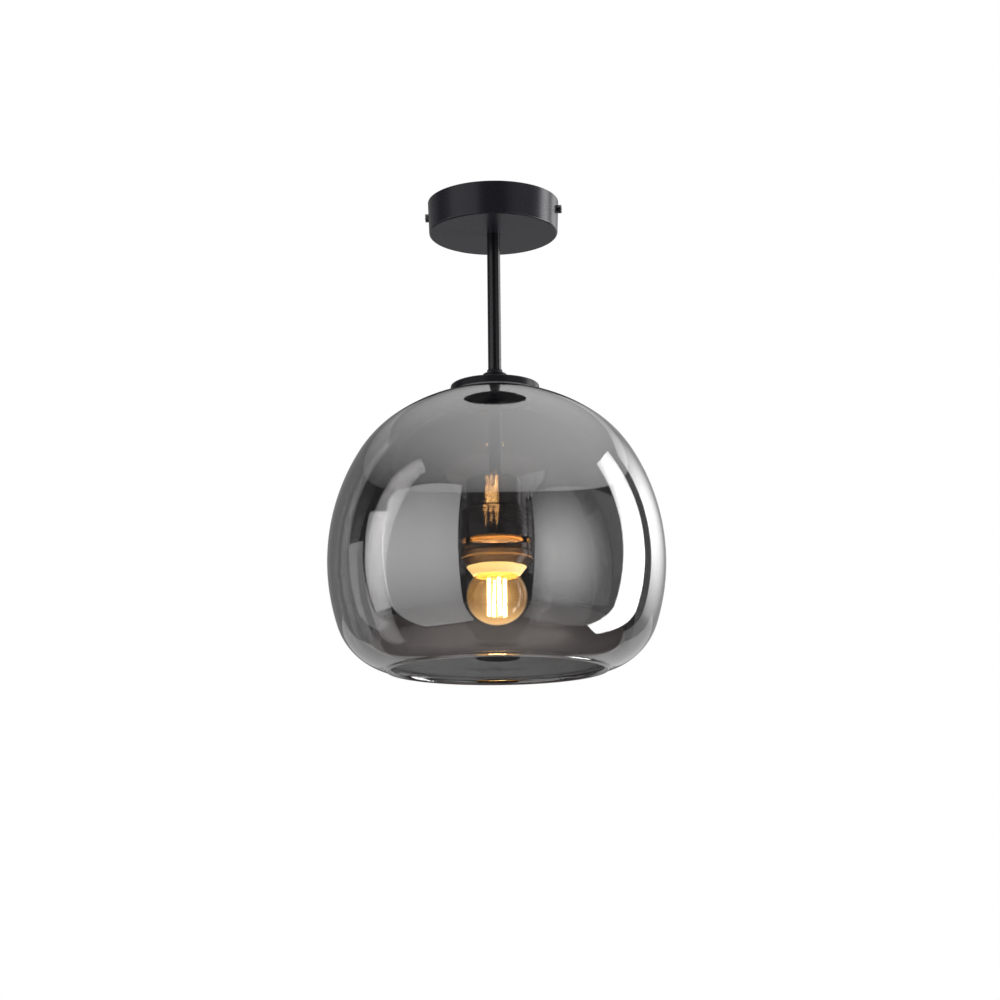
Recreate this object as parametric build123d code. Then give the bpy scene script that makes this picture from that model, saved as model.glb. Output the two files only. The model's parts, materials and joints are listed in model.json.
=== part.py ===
from build123d import *
import os
from math import asin, cos, degrees, radians, sin, sqrt, tan

# A ceiling light: a black canopy, a thin rod and an open globe of smoked glass round one lamp.
# Sizes are in millimetres. The ceiling is the plane z = 0, the rod is the Z axis, and the light hangs below.

# Canopy, a drawn steel cup that is open towards the ceiling
CANOPY_RIM_R = 50.0
CANOPY_DRAFT = 1.0
CANOPY_H = 25.0
CANOPY_WALL = 1.2
CANOPY_EDGE_R = 1.5

# Bracket, a steel strip along X with an ear bent down at each end
BRACKET_W = 20.0
BRACKET_T = 1.5
BRACKET_BEND_R = 1.5
EAR_DROP = 14.0
EAR_GAP = 0.5
SLOT_SPACING = 60.0
SLOT_W = 5.0
SLOT_L = 12.0
CABLE_HOLE_R = 8.0

# Side screws, which hold the canopy to the bracket's ears
SIDE_SCREW_DROP = 8.0
SIDE_SCREW_R = 2.0
SIDE_SCREW_REACH = 6.0
SIDE_HEAD_R = 3.2
SIDE_HEAD_H = 2.6
SIDE_HEAD_GAP = 0.3
SCREW_GAP = 0.3
DRIVER_SLOT_W = 0.9
DRIVER_SLOT_DEPTH = 1.1

# Rod, one threaded tube from the canopy to the lampholder, and the nuts on it
ROD_R = 5.0
ROD_BORE_R = 4.0
ROD_SHOWN = 107.5
ROD_PROUD = 1.0
THREAD_GAP = 0.1
NUT_WALL = 2.0
NUT_H = 4.0
HUB_WALL = 5.0
HUB_H = 6.0
TOOTH_WASHER_T = 0.8
TOOTH_WASHER_RIM = 3.5
TEETH = 10
BUSH_FLANGE = 0.6
BUSH_T = 1.2
BUSH_PLUG = 4.0
BUSH_WALL = 1.3

# Terminal block under the bracket, with three poles in a row along Y
POLES = 3
POLE_PITCH = 9.0
POLE_R = 2.6
POLE_BORE_R = 1.5
BLOCK_W = 13.0
BLOCK_H = 11.0
BLOCK_END = 5.0
BLOCK_INSET = 1.0
CLAMP_SCREW_R = 1.25
CLAMP_SCREW_PITCH = 6.0
CLAMP_HEAD_SINK = 0.5
FIXING_SCREW_R = 1.0
FIXING_HEAD_R = 1.9
FIXING_HEAD_H = 1.4

# Earth screw and ring lug under the bracket's other arm
EARTH_X = -17.0
EARTH_SCREW_R = 2.0
EARTH_HEAD_R = 3.6
EARTH_HEAD_H = 2.4
LUG_R = 4.4
LUG_T = 0.8
LUG_REACH = 11.0
LUG_BARREL_L = 6.0
LUG_BARREL_WALL = 0.7

# Wires
WIRE_R = 0.9
WIRE_SPACING = 2.6
WIRE_BEND_SHARE = 0.9
WIRE_RISE = 5.5
WIRE_FALL = 2.5
WIRE_LEAD = 4.0
WIRE_LEAVE = 2.0
EARTH_LOOP = 12.0

# Cap over the crown of the glass
BOSS_TOP_R = 5.8
BOSS_FLARE_H = 3.0
BOSS_FLARE_R = 2.5
BOSS_R = 9.0
BOSS_H = 5.0
BOSS_EDGE_R = 0.5
CAP_FALL = 4.0
CAP_R = 33.4
CAP_ROUND_R = 1.5
CAP_SIDE = 5.5
CAP_WALL = 1.5
CAP_SEAL_T = 1.0
CAP_SEAL_W = 2.2

# Glass shade, a wall of four tangent arcs that end at these angles from straight up
CROWN_R = 133.5
SHOULDER_R = 93.5
SIDE_R = 153.5
CHINE_R = 48.5
CROWN_END_ANGLE = 35.0
SHOULDER_END_ANGLE = 59.0
SIDE_END_ANGLE = 108.5
CHINE_END_ANGLE = 169.0
GLASS_WALL = 2.6
GLASS_HOLE_R = 20.0
LIP_R = 2.6

# Clamp under the glass
CLAMP_R = 27.0
CLAMP_T = 1.5
CLAMP_LIP = 1.0
UNDER_SEAL_T = 1.2
SEAL_GAP = 0.1
HOLE_MARGIN = 1.0

# Lampholder for a 27 mm screw lamp, with an outer thread for two shade rings
HOLDER_DROP = 58.0
COVER_R = 22.2
COVER_WALL = 1.8
COVER_TOP_T = 2.5
COVER_H = 22.0
COVER_ROUND_R = 2.5
COVER_BOSS_WALL = 3.4
ROD_IN_COVER = 9.0
GRUB_R = 1.5
SKIRT_LAP = 12.0
SKIRT_LAP_GAP = 0.2
SKIRT_L = 40.5
SKIRT_R = 20.0
SKIRT_WALL = 3.0
SKIRT_THREAD_DEPTH = 1.1
SKIRT_PITCH = 3.7
LEDGE_RISE = 14.5
LEDGE_T = 3.0
LEDGE_W = 1.6
CORE_DROP = 4.0
CORE_T = 8.0
CORE_GAP = 0.4
CORE_WALL = 1.7
SHELL_L = 22.0
SHELL_T = 0.4
SHELL_WAVE = 0.6
SHELL_GAP = 0.3
SHELL_FLANGE = 1.8
CONTACT_T = 0.6
CONTACT_W = 5.0
CONTACT_DROP = 2.0
TERMINAL_Y = 11.5
TERMINAL_W = 6.0
TERMINAL_H = 7.0
TERMINAL_BORE_R = 1.2
TERMINAL_BORE_DEPTH = 5.0
TERMINAL_SCREW_R = 1.25
TERMINAL_HEAD_R = 2.2
TERMINAL_HEAD_H = 1.5
RIVET_R = 1.5
RIVET_INSET = 1.5
RIVET_GAP = 0.1

# Shade rings, which run on the skirt's thread
RING_GAP = 0.3
RING_R = 27.0
UPPER_RING_DROP = 2.0
UPPER_RING_H = 22.5
UPPER_RING_WALL = 2.2
UPPER_RING_WEB = 6.0
UPPER_RING_RIBS = 4
RIB_PITCH = 3.4
RIB_DEPTH = 0.8
RING_SPACE = 4.0
LOWER_RING_COLLAR_R = 26.4
LOWER_RING_COLLAR_H = 4.6
LOWER_RING_GROOVE = 1.0
LOWER_RING_FLANGE_H = 4.4
LOWER_RING_TAPER_H = 5.6
LOWER_RING_THREAD_H = 9.0
LOWER_RING_MOUTH_R = 22.2
LOWER_RING_LIP = 1.0
RING_BEVEL = 0.8

# Lamp, a 45 mm round bulb with a 27 mm screw cap
LAMP_REST_GAP = 0.3
LAMP_CREST_R = 13.1
LAMP_THREAD_DEPTH = 0.8
LAMP_PITCH = 3.629
LAMP_TURNS = 4
LAMP_CAP_WALL = 0.5
LAMP_RIM_H = 5.6
LAMP_SHELL_ROOM = 0.5
LAMP_CONTACT_R = 4.8
LAMP_CONTACT_H = 2.0
LAMP_INSULATOR_H = 3.0
LAMP_INSULATOR_R = 11.0
BULB_R = 22.5
BULB_WALL = 0.9
BULB_NECK_GAP = 0.4
BULB_NECK_IN = 4.0
BULB_NECK_L = 3.7
BULB_NECK_ROUND_R = 6.0
COLLAR_DROP = 0.3
COLLAR_LOW_R = 16.2
COLLAR_WALL = 1.2
STEM_FLARE_GAP = 0.5
STEM_FLARE_T = 1.2
STEM_R = 3.2
STEM_L = 7.0
POST_R = 1.0
FILAMENTS = 4
FILAMENT_R = 1.5
FILAMENT_L = 29.5
FILAMENT_DROP = 8.4
FILAMENT_TOP_R = 6.0
FILAMENT_LOW_R = 6.4
FILAMENT_FIRST_ANGLE = 23.0
FILAMENT_TWIST_ANGLE = 10.0
LEAD_R = 0.35
LEAD_GAP = 0.05
BOARD_W = 15.0
BOARD_H = 13.0
BOARD_T = 1.2
BOARD_GAP = 0.5
CAPACITOR_R = 3.6
CAPACITOR_H = 9.0

# Shares of one pitch on a thread: rising flank, crest, falling flank, with the root as the rest
FLANK_SHARE = 0.25
CREST_SHARE = 0.3
# How far a cutting tool runs past the face that it cuts
OVERRUN = 1.0

# Heights, from the ceiling down
bracket_low_z = -BRACKET_T
canopy_low_z = -CANOPY_H
canopy_floor_z = canopy_low_z + CANOPY_WALL
hub_top_z = canopy_floor_z + HUB_H
washer_top_z = hub_top_z + TOOTH_WASHER_T
lock_nut_top_z = washer_top_z + NUT_H
rod_top_z = lock_nut_top_z + ROD_PROUD
bush_top_z = rod_top_z + BUSH_T
boss_top_z = canopy_low_z - ROD_SHOWN
boss_flare_z = boss_top_z - BOSS_FLARE_H
cap_top_z = boss_flare_z - BOSS_H
cap_edge_z = cap_top_z - CAP_FALL
cap_rim_z = cap_edge_z - CAP_SIDE

# The glass passes one seal below the cap's rim, so its crown is found from there
crown_z = cap_rim_z - CAP_SEAL_T + CROWN_R - sqrt(CROWN_R**2 - CAP_R**2)
crown_centre_z = crown_z - CROWN_R
inner_crown_r = CROWN_R - GLASS_WALL
clamp_top_z = crown_centre_z + sqrt(inner_crown_r**2 - CLAMP_R**2) - UNDER_SEAL_T
clamp_low_z = clamp_top_z - CLAMP_T
clamp_nut_low_z = clamp_low_z - NUT_H

cover_top_z = clamp_nut_low_z - HOLDER_DROP
cover_low_z = cover_top_z - COVER_H
rod_low_z = cover_top_z - ROD_IN_COVER
skirt_top_z = cover_low_z + SKIRT_LAP
skirt_low_z = cover_low_z - SKIRT_L
ledge_low_z = skirt_low_z + LEDGE_RISE
ledge_top_z = ledge_low_z + LEDGE_T
core_top_z = cover_low_z - CORE_DROP
core_low_z = core_top_z - CORE_T
terminal_top_z = core_top_z + TERMINAL_H
contact_low_z = core_low_z - CONTACT_DROP - CONTACT_T
upper_ring_top_z = cover_low_z - UPPER_RING_DROP
upper_ring_low_z = upper_ring_top_z - UPPER_RING_H
lower_ring_top_z = upper_ring_low_z - RING_SPACE
lower_ring_flange_z = lower_ring_top_z - LOWER_RING_COLLAR_H - LOWER_RING_GROOVE
lower_ring_taper_z = lower_ring_flange_z - LOWER_RING_FLANGE_H
lower_ring_low_z = lower_ring_taper_z - LOWER_RING_TAPER_H

lamp_top_z = contact_low_z - LAMP_REST_GAP
lamp_insulator_top_z = lamp_top_z - LAMP_CONTACT_H
lamp_thread_top_z = lamp_insulator_top_z - LAMP_INSULATOR_H
lamp_thread_low_z = lamp_thread_top_z - LAMP_TURNS * LAMP_PITCH
lamp_rim_z = lamp_thread_low_z - LAMP_RIM_H
lamp_root_r = LAMP_CREST_R - LAMP_THREAD_DEPTH
lamp_bore_r = lamp_root_r - LAMP_CAP_WALL
bulb_neck_r = lamp_bore_r - BULB_NECK_GAP
bulb_round_z = lamp_rim_z - BULB_NECK_L
bulb_reach = bulb_neck_r + BULB_NECK_ROUND_R
bulb_centre_z = bulb_round_z - sqrt((BULB_R + BULB_NECK_ROUND_R) ** 2 - bulb_reach**2)
collar_top_z = lower_ring_low_z - COLLAR_DROP
collar_web_z = collar_top_z - COLLAR_WALL
collar_low_z = bulb_centre_z + sqrt(BULB_R**2 - (COLLAR_LOW_R - SEAL_GAP) ** 2)
stem_top_z = lamp_rim_z + BULB_NECK_IN
stem_low_z = stem_top_z - STEM_FLARE_T - STEM_L
filament_top_z = stem_low_z - FILAMENT_DROP
filament_low_z = filament_top_z - FILAMENT_L

# Radii and places that follow from the sizes above
rod_hole_r = ROD_R + THREAD_GAP
nut_across_flats = 2 * (ROD_R + NUT_WALL)
canopy_base_r = CANOPY_RIM_R - CANOPY_DRAFT
ear_wall_r = CANOPY_RIM_R - CANOPY_DRAFT * EAR_DROP / CANOPY_H - CANOPY_WALL
ear_x = sqrt(ear_wall_r**2 - (BRACKET_W / 2) ** 2) - EAR_GAP
side_wall_r = CANOPY_RIM_R - CANOPY_DRAFT * (SIDE_SCREW_DROP - SIDE_HEAD_R) / CANOPY_H
side_seat_x = side_wall_r + SIDE_HEAD_GAP
block_x = CABLE_HOLE_R + BLOCK_INSET + BLOCK_W / 2
block_l = (POLES - 1) * POLE_PITCH + 2 * BLOCK_END
block_low_z = bracket_low_z - BLOCK_H
pole_z = bracket_low_z - BLOCK_H / 2
pole_ys = [POLE_PITCH * (pole - (POLES - 1) / 2) for pole in range(POLES)]
skirt_bore_r = SKIRT_R - SKIRT_WALL
core_r = skirt_bore_r - CORE_GAP
shell_r = LAMP_CREST_R + LAMP_SHELL_ROOM
shell_outer_r = shell_r + SHELL_WAVE + SHELL_T
ring_bore_r = SKIRT_R + RING_GAP
lug_barrel_r = WIRE_R + LUG_BARREL_WALL
lug_barrel_z = bracket_low_z - lug_barrel_r - SEAL_GAP


def turned(*points):
    """The solid that a closed outline of (radius, height) points sweeps in a turn round the Z axis."""
    outline = [(radius, 0, height) for radius, height in points]
    return revolve(make_face(Polyline(*outline, close=True)), Axis.Z)


def turned_rounded(corners):
    """As turned, for corners given as (radius, height, rounding)."""
    outline = [(radius, 0, height) for radius, height, rounding in corners]
    roundings = [rounding for radius, height, rounding in corners]
    return revolve(make_face(FilletPolyline(*outline, radius=roundings, close=True)), Axis.Z)


def ring(outer_r, inner_r, low, high):
    """A plain ring, or a disc where the inner radius is 0."""
    return turned((inner_r, low), (outer_r, low), (outer_r, high), (inner_r, high))


def hex_nut(low, high):
    """A nut on the rod, with its corners turned down at both faces."""
    flat_r = nut_across_flats / 2
    corner_r = flat_r / cos(radians(30))
    bevel = (corner_r - flat_r) * tan(radians(30))
    blank = Pos(0, 0, low) * extrude(RegularPolygon(flat_r, 6, major_radius=False), high - low)
    turning = turned(
        (rod_hole_r, low), (flat_r, low), (corner_r, low + bevel),
        (corner_r, high - bevel), (flat_r, high), (rod_hole_r, high),
    )
    return blank & turning


def along_x(solid, height):
    """Lay a solid that was turned round Z along +X at a height."""
    return Pos(0, 0, height) * Rot(0, 90, 0) * solid


def thread(root_r, crest_r, top, turns, pitch):
    """Points down a thread that is drawn as rings, one for each turn."""
    points = []
    for turn in range(turns):
        start = top - turn * pitch
        points.append((root_r, start))
        points.append((crest_r, start - FLANK_SHARE * pitch))
        points.append((crest_r, start - (FLANK_SHARE + CREST_SHARE) * pitch))
        points.append((root_r, start - (2 * FLANK_SHARE + CREST_SHARE) * pitch))
    return points


def rod_between(start, end, radius):
    """A straight round bar from one point to another."""
    line = Line(start, end)
    return extrude(Plane(start, z_dir=line % 0) * Circle(radius), line.length)


def widest_bends(points, held):
    """Bend radius at each corner: two corners share the run between them, and held lengths stay straight."""
    corners = [Vector(*point) for point in points]
    runs = [after - before for before, after in zip(corners, corners[1:])]
    needs = [tan(radians(before.get_angle(after)) / 2) for before, after in zip(runs, runs[1:])]
    needs = [0, *needs, 0]
    lengths = [run.length for run in runs]
    lengths[0] -= held[0]
    lengths[-1] -= held[1]
    rooms = [length / (first + last) for length, first, last in zip(lengths, needs, needs[1:])]
    return [WIRE_BEND_SHARE * min(pair) for pair in zip(rooms, rooms[1:])]


def wire(name, points, held):
    """A wire through points, with each bend as wide as its two runs allow."""
    bends = widest_bends(points, held)
    path = FilletPolyline(*points, radius=bends)
    solid = sweep(Plane(path @ 0, z_dir=path % 0) * Circle(WIRE_R), path=path)
    share = solid.volume / (Circle(WIRE_R).area * path.length)
    print(name, "bend radii", [round(bend, 1) for bend in bends], "volume share", round(share, 4))
    return solid


def make_mounting_bracket():
    """Steel strip against the ceiling, slotted for two screws, with an ear at each end for a side screw."""
    bend_out = BRACKET_BEND_R + BRACKET_T
    inner_x = ear_x - BRACKET_T
    corners = [
        (-ear_x, -EAR_DROP, 0), (-ear_x, 0, bend_out), (ear_x, 0, bend_out), (ear_x, -EAR_DROP, 0),
        (inner_x, -EAR_DROP, 0), (inner_x, -BRACKET_T, BRACKET_BEND_R),
        (-inner_x, -BRACKET_T, BRACKET_BEND_R), (-inner_x, -EAR_DROP, 0),
    ]
    outline = FilletPolyline(
        *[(x, 0, z) for x, z, bend in corners], radius=[bend for x, z, bend in corners], close=True
    )
    strip = extrude(make_face(outline), BRACKET_W / 2, dir=(0, 1, 0), both=True)
    slot = extrude(SlotOverall(SLOT_L, SLOT_W), BRACKET_T + OVERRUN, both=True)
    strip -= ring(CABLE_HOLE_R, 0, -BRACKET_T - OVERRUN, OVERRUN)
    for side in (-1, 1):
        strip -= Pos(side * SLOT_SPACING / 2, 0, 0) * slot
    strip -= Pos(EARTH_X, 0, 0) * ring(EARTH_SCREW_R + THREAD_GAP, 0, -BRACKET_T - OVERRUN, OVERRUN)
    strip -= fixing_place() * ring(FIXING_SCREW_R + THREAD_GAP, 0, -BRACKET_T - OVERRUN, OVERRUN)
    return strip - side_bore()


def side_bore():
    """The drill that makes both side holes, right across the canopy."""
    half = CANOPY_RIM_R + OVERRUN
    return along_x(ring(SIDE_SCREW_R + SCREW_GAP, 0, -half, half), -SIDE_SCREW_DROP)


def make_side_screw():
    """Cheese-head screw along +X, from outside the canopy through its wall and the bracket's ear."""
    tip = ear_x - SIDE_SCREW_REACH
    head_end = side_seat_x + SIDE_HEAD_H
    screw = turned(
        (0, tip), (SIDE_SCREW_R, tip), (SIDE_SCREW_R, side_seat_x), (SIDE_HEAD_R, side_seat_x),
        (SIDE_HEAD_R, head_end), (0, head_end),
    )
    driver = Pos(0, 0, head_end) * Box(DRIVER_SLOT_W, 2 * SIDE_HEAD_R + OVERRUN, 2 * DRIVER_SLOT_DEPTH)
    return along_x(screw - driver, -SIDE_SCREW_DROP)


def make_canopy():
    """Drawn cup with a slight draft, a rounded lower edge and a hole for the rod."""
    inner_round = max(CANOPY_EDGE_R - CANOPY_WALL, 0)
    cup = turned_rounded([
        (rod_hole_r, canopy_low_z, 0), (canopy_base_r, canopy_low_z, CANOPY_EDGE_R),
        (CANOPY_RIM_R, 0, 0), (CANOPY_RIM_R - CANOPY_WALL, 0, 0),
        (canopy_base_r - CANOPY_WALL, canopy_floor_z, inner_round), (rod_hole_r, canopy_floor_z, 0),
    ])
    return cup - side_bore()


def make_canopy_hub():
    """Threaded hub that is welded to the canopy's floor and takes the rod."""
    return ring(ROD_R + HUB_WALL, rod_hole_r, canopy_floor_z, hub_top_z)


def make_tooth_washer():
    """Shakeproof washer with teeth round its rim, between the hub and the lock nut."""
    outer_r = ROD_R + TOOTH_WASHER_RIM
    washer = ring(outer_r, rod_hole_r, hub_top_z, washer_top_z)
    notch = Pos(outer_r, 0, hub_top_z) * Box(TOOTH_WASHER_RIM / 2, TOOTH_WASHER_RIM / 2, 2 * OVERRUN)
    for tooth in range(TEETH):
        washer -= Rot(0, 0, tooth * 360 / TEETH) * notch
    return washer


def make_rod():
    """Threaded steel tube that carries the shade and the lampholder, and the wires inside it."""
    return ring(ROD_R, ROD_BORE_R, rod_low_z, rod_top_z)


def make_rod_bush():
    """Plastic bush that keeps the wires off the rod's sharp upper end."""
    plug_r = ROD_BORE_R - THREAD_GAP
    bore_r = ROD_BORE_R - BUSH_WALL
    plug_low = rod_top_z - BUSH_PLUG
    return turned(
        (bore_r, plug_low), (plug_r, plug_low), (plug_r, rod_top_z), (ROD_R + BUSH_FLANGE, rod_top_z),
        (ROD_R + BUSH_FLANGE, bush_top_z), (bore_r, bush_top_z),
    )


def clamp_screw_places():
    """Where the terminal block's screws stand: two on each pole."""
    return [
        Pos(block_x + side * CLAMP_SCREW_PITCH / 2, pole_y, 0) for pole_y in pole_ys for side in (-1, 1)
    ]


def fixing_place():
    """Where the screw goes that fixes the terminal block, between its last two poles."""
    return Pos(block_x, (pole_ys[-1] + pole_ys[-2]) / 2, 0)


def make_terminal_block():
    """Plastic body of the terminal block, with a bore along each pole and screw holes from below."""
    body = Pos(block_x, 0, pole_z) * Box(BLOCK_W, block_l, BLOCK_H)
    bore = along_x(ring(POLE_R + THREAD_GAP, 0, block_x - BLOCK_W, block_x + BLOCK_W), pole_z)
    for pole_y in pole_ys:
        body -= Pos(0, pole_y, 0) * bore
    for place in clamp_screw_places():
        body -= place * ring(CLAMP_SCREW_R + SCREW_GAP, 0, block_low_z - OVERRUN, pole_z)
    return body - fixing_place() * ring(
        FIXING_SCREW_R + THREAD_GAP, 0, block_low_z - OVERRUN, bracket_low_z + OVERRUN
    )


def make_terminal_clamps():
    """Brass tubes of the terminal block, one for each pole."""
    half = BLOCK_W / 2 - BLOCK_INSET
    tube = along_x(ring(POLE_R, POLE_BORE_R, block_x - half, block_x + half), pole_z)
    clamps = []
    for number, pole_y in enumerate(pole_ys):
        clamp = Pos(0, pole_y, 0) * tube
        for place in clamp_screw_places()[2 * number:2 * number + 2]:
            clamp -= place * ring(CLAMP_SCREW_R + THREAD_GAP, 0, block_low_z, pole_z)
        clamps.append(clamp)
    return Compound(children=clamps)


def make_clamp_screws():
    """Headless screws that press the wires in the terminal block, just clear of them."""
    low = block_low_z + CLAMP_HEAD_SINK
    screw = ring(CLAMP_SCREW_R, 0, low, pole_z - WIRE_R - THREAD_GAP)
    screw -= Pos(0, 0, low) * Box(DRIVER_SLOT_W, 2 * CLAMP_SCREW_R + OVERRUN, 2 * DRIVER_SLOT_DEPTH)
    return Compound(children=[place * screw for place in clamp_screw_places()])


def make_block_screw():
    """Screw from below through the terminal block into the bracket."""
    head_low = block_low_z - FIXING_HEAD_H
    screw = turned(
        (0, head_low), (FIXING_HEAD_R, head_low), (FIXING_HEAD_R, block_low_z),
        (FIXING_SCREW_R, block_low_z), (FIXING_SCREW_R, -THREAD_GAP), (0, -THREAD_GAP),
    )
    driver = Pos(0, 0, head_low) * Box(DRIVER_SLOT_W, 2 * FIXING_HEAD_R + OVERRUN, DRIVER_SLOT_DEPTH)
    return fixing_place() * (screw - driver)


def make_earth_lug():
    """Ring lug under the bracket, with a crimped barrel along Y for the earth wire."""
    barrel_start = LUG_REACH - LUG_BARREL_L
    plate_low = bracket_low_z - LUG_T
    plate = Pos(0, 0, plate_low) * extrude(
        Circle(LUG_R) + Pos(0, barrel_start / 2) * Rectangle(2 * lug_barrel_r, barrel_start), LUG_T
    )
    plate -= ring(EARTH_SCREW_R + THREAD_GAP, 0, plate_low - OVERRUN, bracket_low_z + OVERRUN)
    barrel = rod_between((0, barrel_start, lug_barrel_z), (0, LUG_REACH, lug_barrel_z), lug_barrel_r)
    barrel -= rod_between(
        (0, barrel_start + LUG_T, lug_barrel_z), (0, LUG_REACH + OVERRUN, lug_barrel_z), WIRE_R + THREAD_GAP
    )
    return Pos(EARTH_X, 0, 0) * (plate + barrel)


def make_earth_screw():
    """Screw from below through the lug into the bracket."""
    seat = bracket_low_z - LUG_T
    head_low = seat - EARTH_HEAD_H
    screw = turned(
        (0, head_low), (EARTH_HEAD_R, head_low), (EARTH_HEAD_R, seat), (EARTH_SCREW_R, seat),
        (EARTH_SCREW_R, -THREAD_GAP), (0, -THREAD_GAP),
    )
    driver = Pos(0, 0, head_low) * Box(DRIVER_SLOT_W, 2 * EARTH_HEAD_R + OVERRUN, 2 * DRIVER_SLOT_DEPTH)
    return Pos(EARTH_X, 0, 0) * (screw - driver)


def make_earth_wire():
    """Wire from the lug to the last pole of the terminal block."""
    barrel_end = LUG_REACH - LUG_BARREL_L + 2 * LUG_T
    loop_y = LUG_REACH + EARTH_LOOP
    points = [
        (EARTH_X, barrel_end, lug_barrel_z), (EARTH_X, loop_y, lug_barrel_z), (0, loop_y, pole_z),
        (block_x - BLOCK_W, pole_ys[2], pole_z), (block_x, pole_ys[2], pole_z),
    ]
    return wire("earth_wire", points, (LUG_REACH - barrel_end, BLOCK_W / 2))


def supply_wire(name, pole_y, side):
    """Wire from a pole of the terminal block, over the bush and down the rod to a holder terminal."""
    wire_y = side * WIRE_SPACING / 2
    terminal_y = side * TERMINAL_Y
    wire_end_z = terminal_top_z - TERMINAL_BORE_DEPTH + WIRE_R
    points = [
        (block_x, pole_y, pole_z), (block_x - BLOCK_W / 2 - WIRE_LEAVE, pole_y, pole_z),
        (0, wire_y, bush_top_z + WIRE_RISE), (0, wire_y, rod_low_z - WIRE_FALL),
        (0, terminal_y, terminal_top_z + WIRE_LEAD), (0, terminal_y, wire_end_z),
    ]
    return wire(name, points, (BLOCK_W / 2, terminal_top_z - wire_end_z))


def make_shade_cap():
    """Low spun steel cap with a flared boss at the rod and a threaded hub that stops on the clamp plate."""
    inner_r = CAP_R - CAP_WALL
    return turned_rounded([
        (rod_hole_r, boss_top_z, 0), (BOSS_TOP_R, boss_top_z, 0), (BOSS_TOP_R, boss_flare_z, BOSS_FLARE_R),
        (BOSS_R, boss_flare_z, BOSS_EDGE_R), (BOSS_R, cap_top_z, BOSS_EDGE_R),
        (CAP_R, cap_edge_z, CAP_ROUND_R), (CAP_R, cap_rim_z, 0), (inner_r, cap_rim_z, 0),
        (inner_r, cap_edge_z - CAP_WALL, 0), (BOSS_R, cap_top_z - CAP_WALL, 0),
        (BOSS_R, clamp_top_z, 0), (rod_hole_r, clamp_top_z, 0),
    ])


def arc_point(centre, radius, angle):
    """Point of an arc in the plane y = 0, at an angle from straight up."""
    return (centre[0] + radius * sin(radians(angle)), 0, centre[1] + radius * cos(radians(angle)))


def arc(centre, radius, start, end):
    """Arc in the plane y = 0 between two angles from straight up."""
    return ThreePointArc(*[arc_point(centre, radius, angle) for angle in (start, (start + end) / 2, end)])


def shade_centres():
    """Centres of the wall's four arcs: each lies on the line where its arc meets the one above."""
    radii = [CROWN_R, SHOULDER_R, SIDE_R, CHINE_R]
    ends = [CROWN_END_ANGLE, SHOULDER_END_ANGLE, SIDE_END_ANGLE]
    centres = [(0, crown_centre_z)]
    for radius, next_radius, end in zip(radii, radii[1:], ends):
        joint = arc_point(centres[-1], radius - next_radius, end)
        centres.append((joint[0], joint[2]))
    return list(zip(centres, radii))


def shade_side(offset):
    """The four arcs of the wall, from the hole to the lip, moved inwards by offset."""
    hole_angle = degrees(asin(GLASS_HOLE_R / (CROWN_R - offset)))
    ends = [CROWN_END_ANGLE, SHOULDER_END_ANGLE, SIDE_END_ANGLE, CHINE_END_ANGLE]
    starts = [hole_angle, *ends[:-1]]
    return [
        arc(centre, radius - offset, start, end)
        for (centre, radius), start, end in zip(shade_centres(), starts, ends)
    ]


def make_glass_shade():
    """Blown globe with a hole in its crown and a wide open mouth, whose lip is melted to a round bead."""
    outer = shade_side(0)
    inner = shade_side(GLASS_WALL)
    rims = [Line(outer[0] @ 0, inner[0] @ 0), Line(outer[-1] @ 1, inner[-1] @ 1)]
    wall = revolve(make_face([*outer, *inner, *rims]), Axis.Z)
    centre, radius = shade_centres()[-1]
    lip = arc_point(centre, radius - GLASS_WALL / 2, CHINE_END_ANGLE)
    return wall + Pos(0, 0, lip[2]) * Torus(lip[0], LIP_R)


def crown_height(radius, at_r):
    """Height of a crown surface of one radius, at a distance from the axis."""
    return crown_centre_z + sqrt(radius**2 - at_r**2)


def make_cap_seal():
    """Soft ring between the cap's rim and the glass."""
    outer_r = CAP_R - SEAL_GAP
    inner_r = CAP_R - CAP_SEAL_W
    glass_r = CROWN_R + SEAL_GAP
    return turned(
        (inner_r, cap_rim_z), (outer_r, cap_rim_z), (outer_r, crown_height(glass_r, outer_r)),
        (inner_r, crown_height(glass_r, inner_r)),
    )


def make_under_seal():
    """Soft wedge-shaped ring between the clamp plate and the inside of the glass."""
    outer_r = CLAMP_R
    inner_r = GLASS_HOLE_R + HOLE_MARGIN
    glass_r = inner_crown_r - SEAL_GAP
    start, end = [degrees(asin(radius / glass_r)) for radius in (inner_r, outer_r)]
    top = arc((0, crown_centre_z), glass_r, start, end)
    low_inner = (inner_r, 0, clamp_top_z)
    low_outer = (outer_r, 0, clamp_top_z)
    sides = [Line(top @ 0, low_inner), Line(low_inner, low_outer), Line(low_outer, top @ 1)]
    return revolve(make_face([top, *sides]), Axis.Z)


def make_clamp_plate():
    """Steel plate that the nut pulls up against the glass, with a stiffening lip round its edge."""
    lip_low = clamp_low_z - CLAMP_LIP
    return turned(
        (rod_hole_r, clamp_top_z), (CLAMP_R, clamp_top_z), (CLAMP_R, lip_low),
        (CLAMP_R - CLAMP_T, lip_low), (CLAMP_R - CLAMP_T, clamp_low_z), (rod_hole_r, clamp_low_z),
    )


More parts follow.
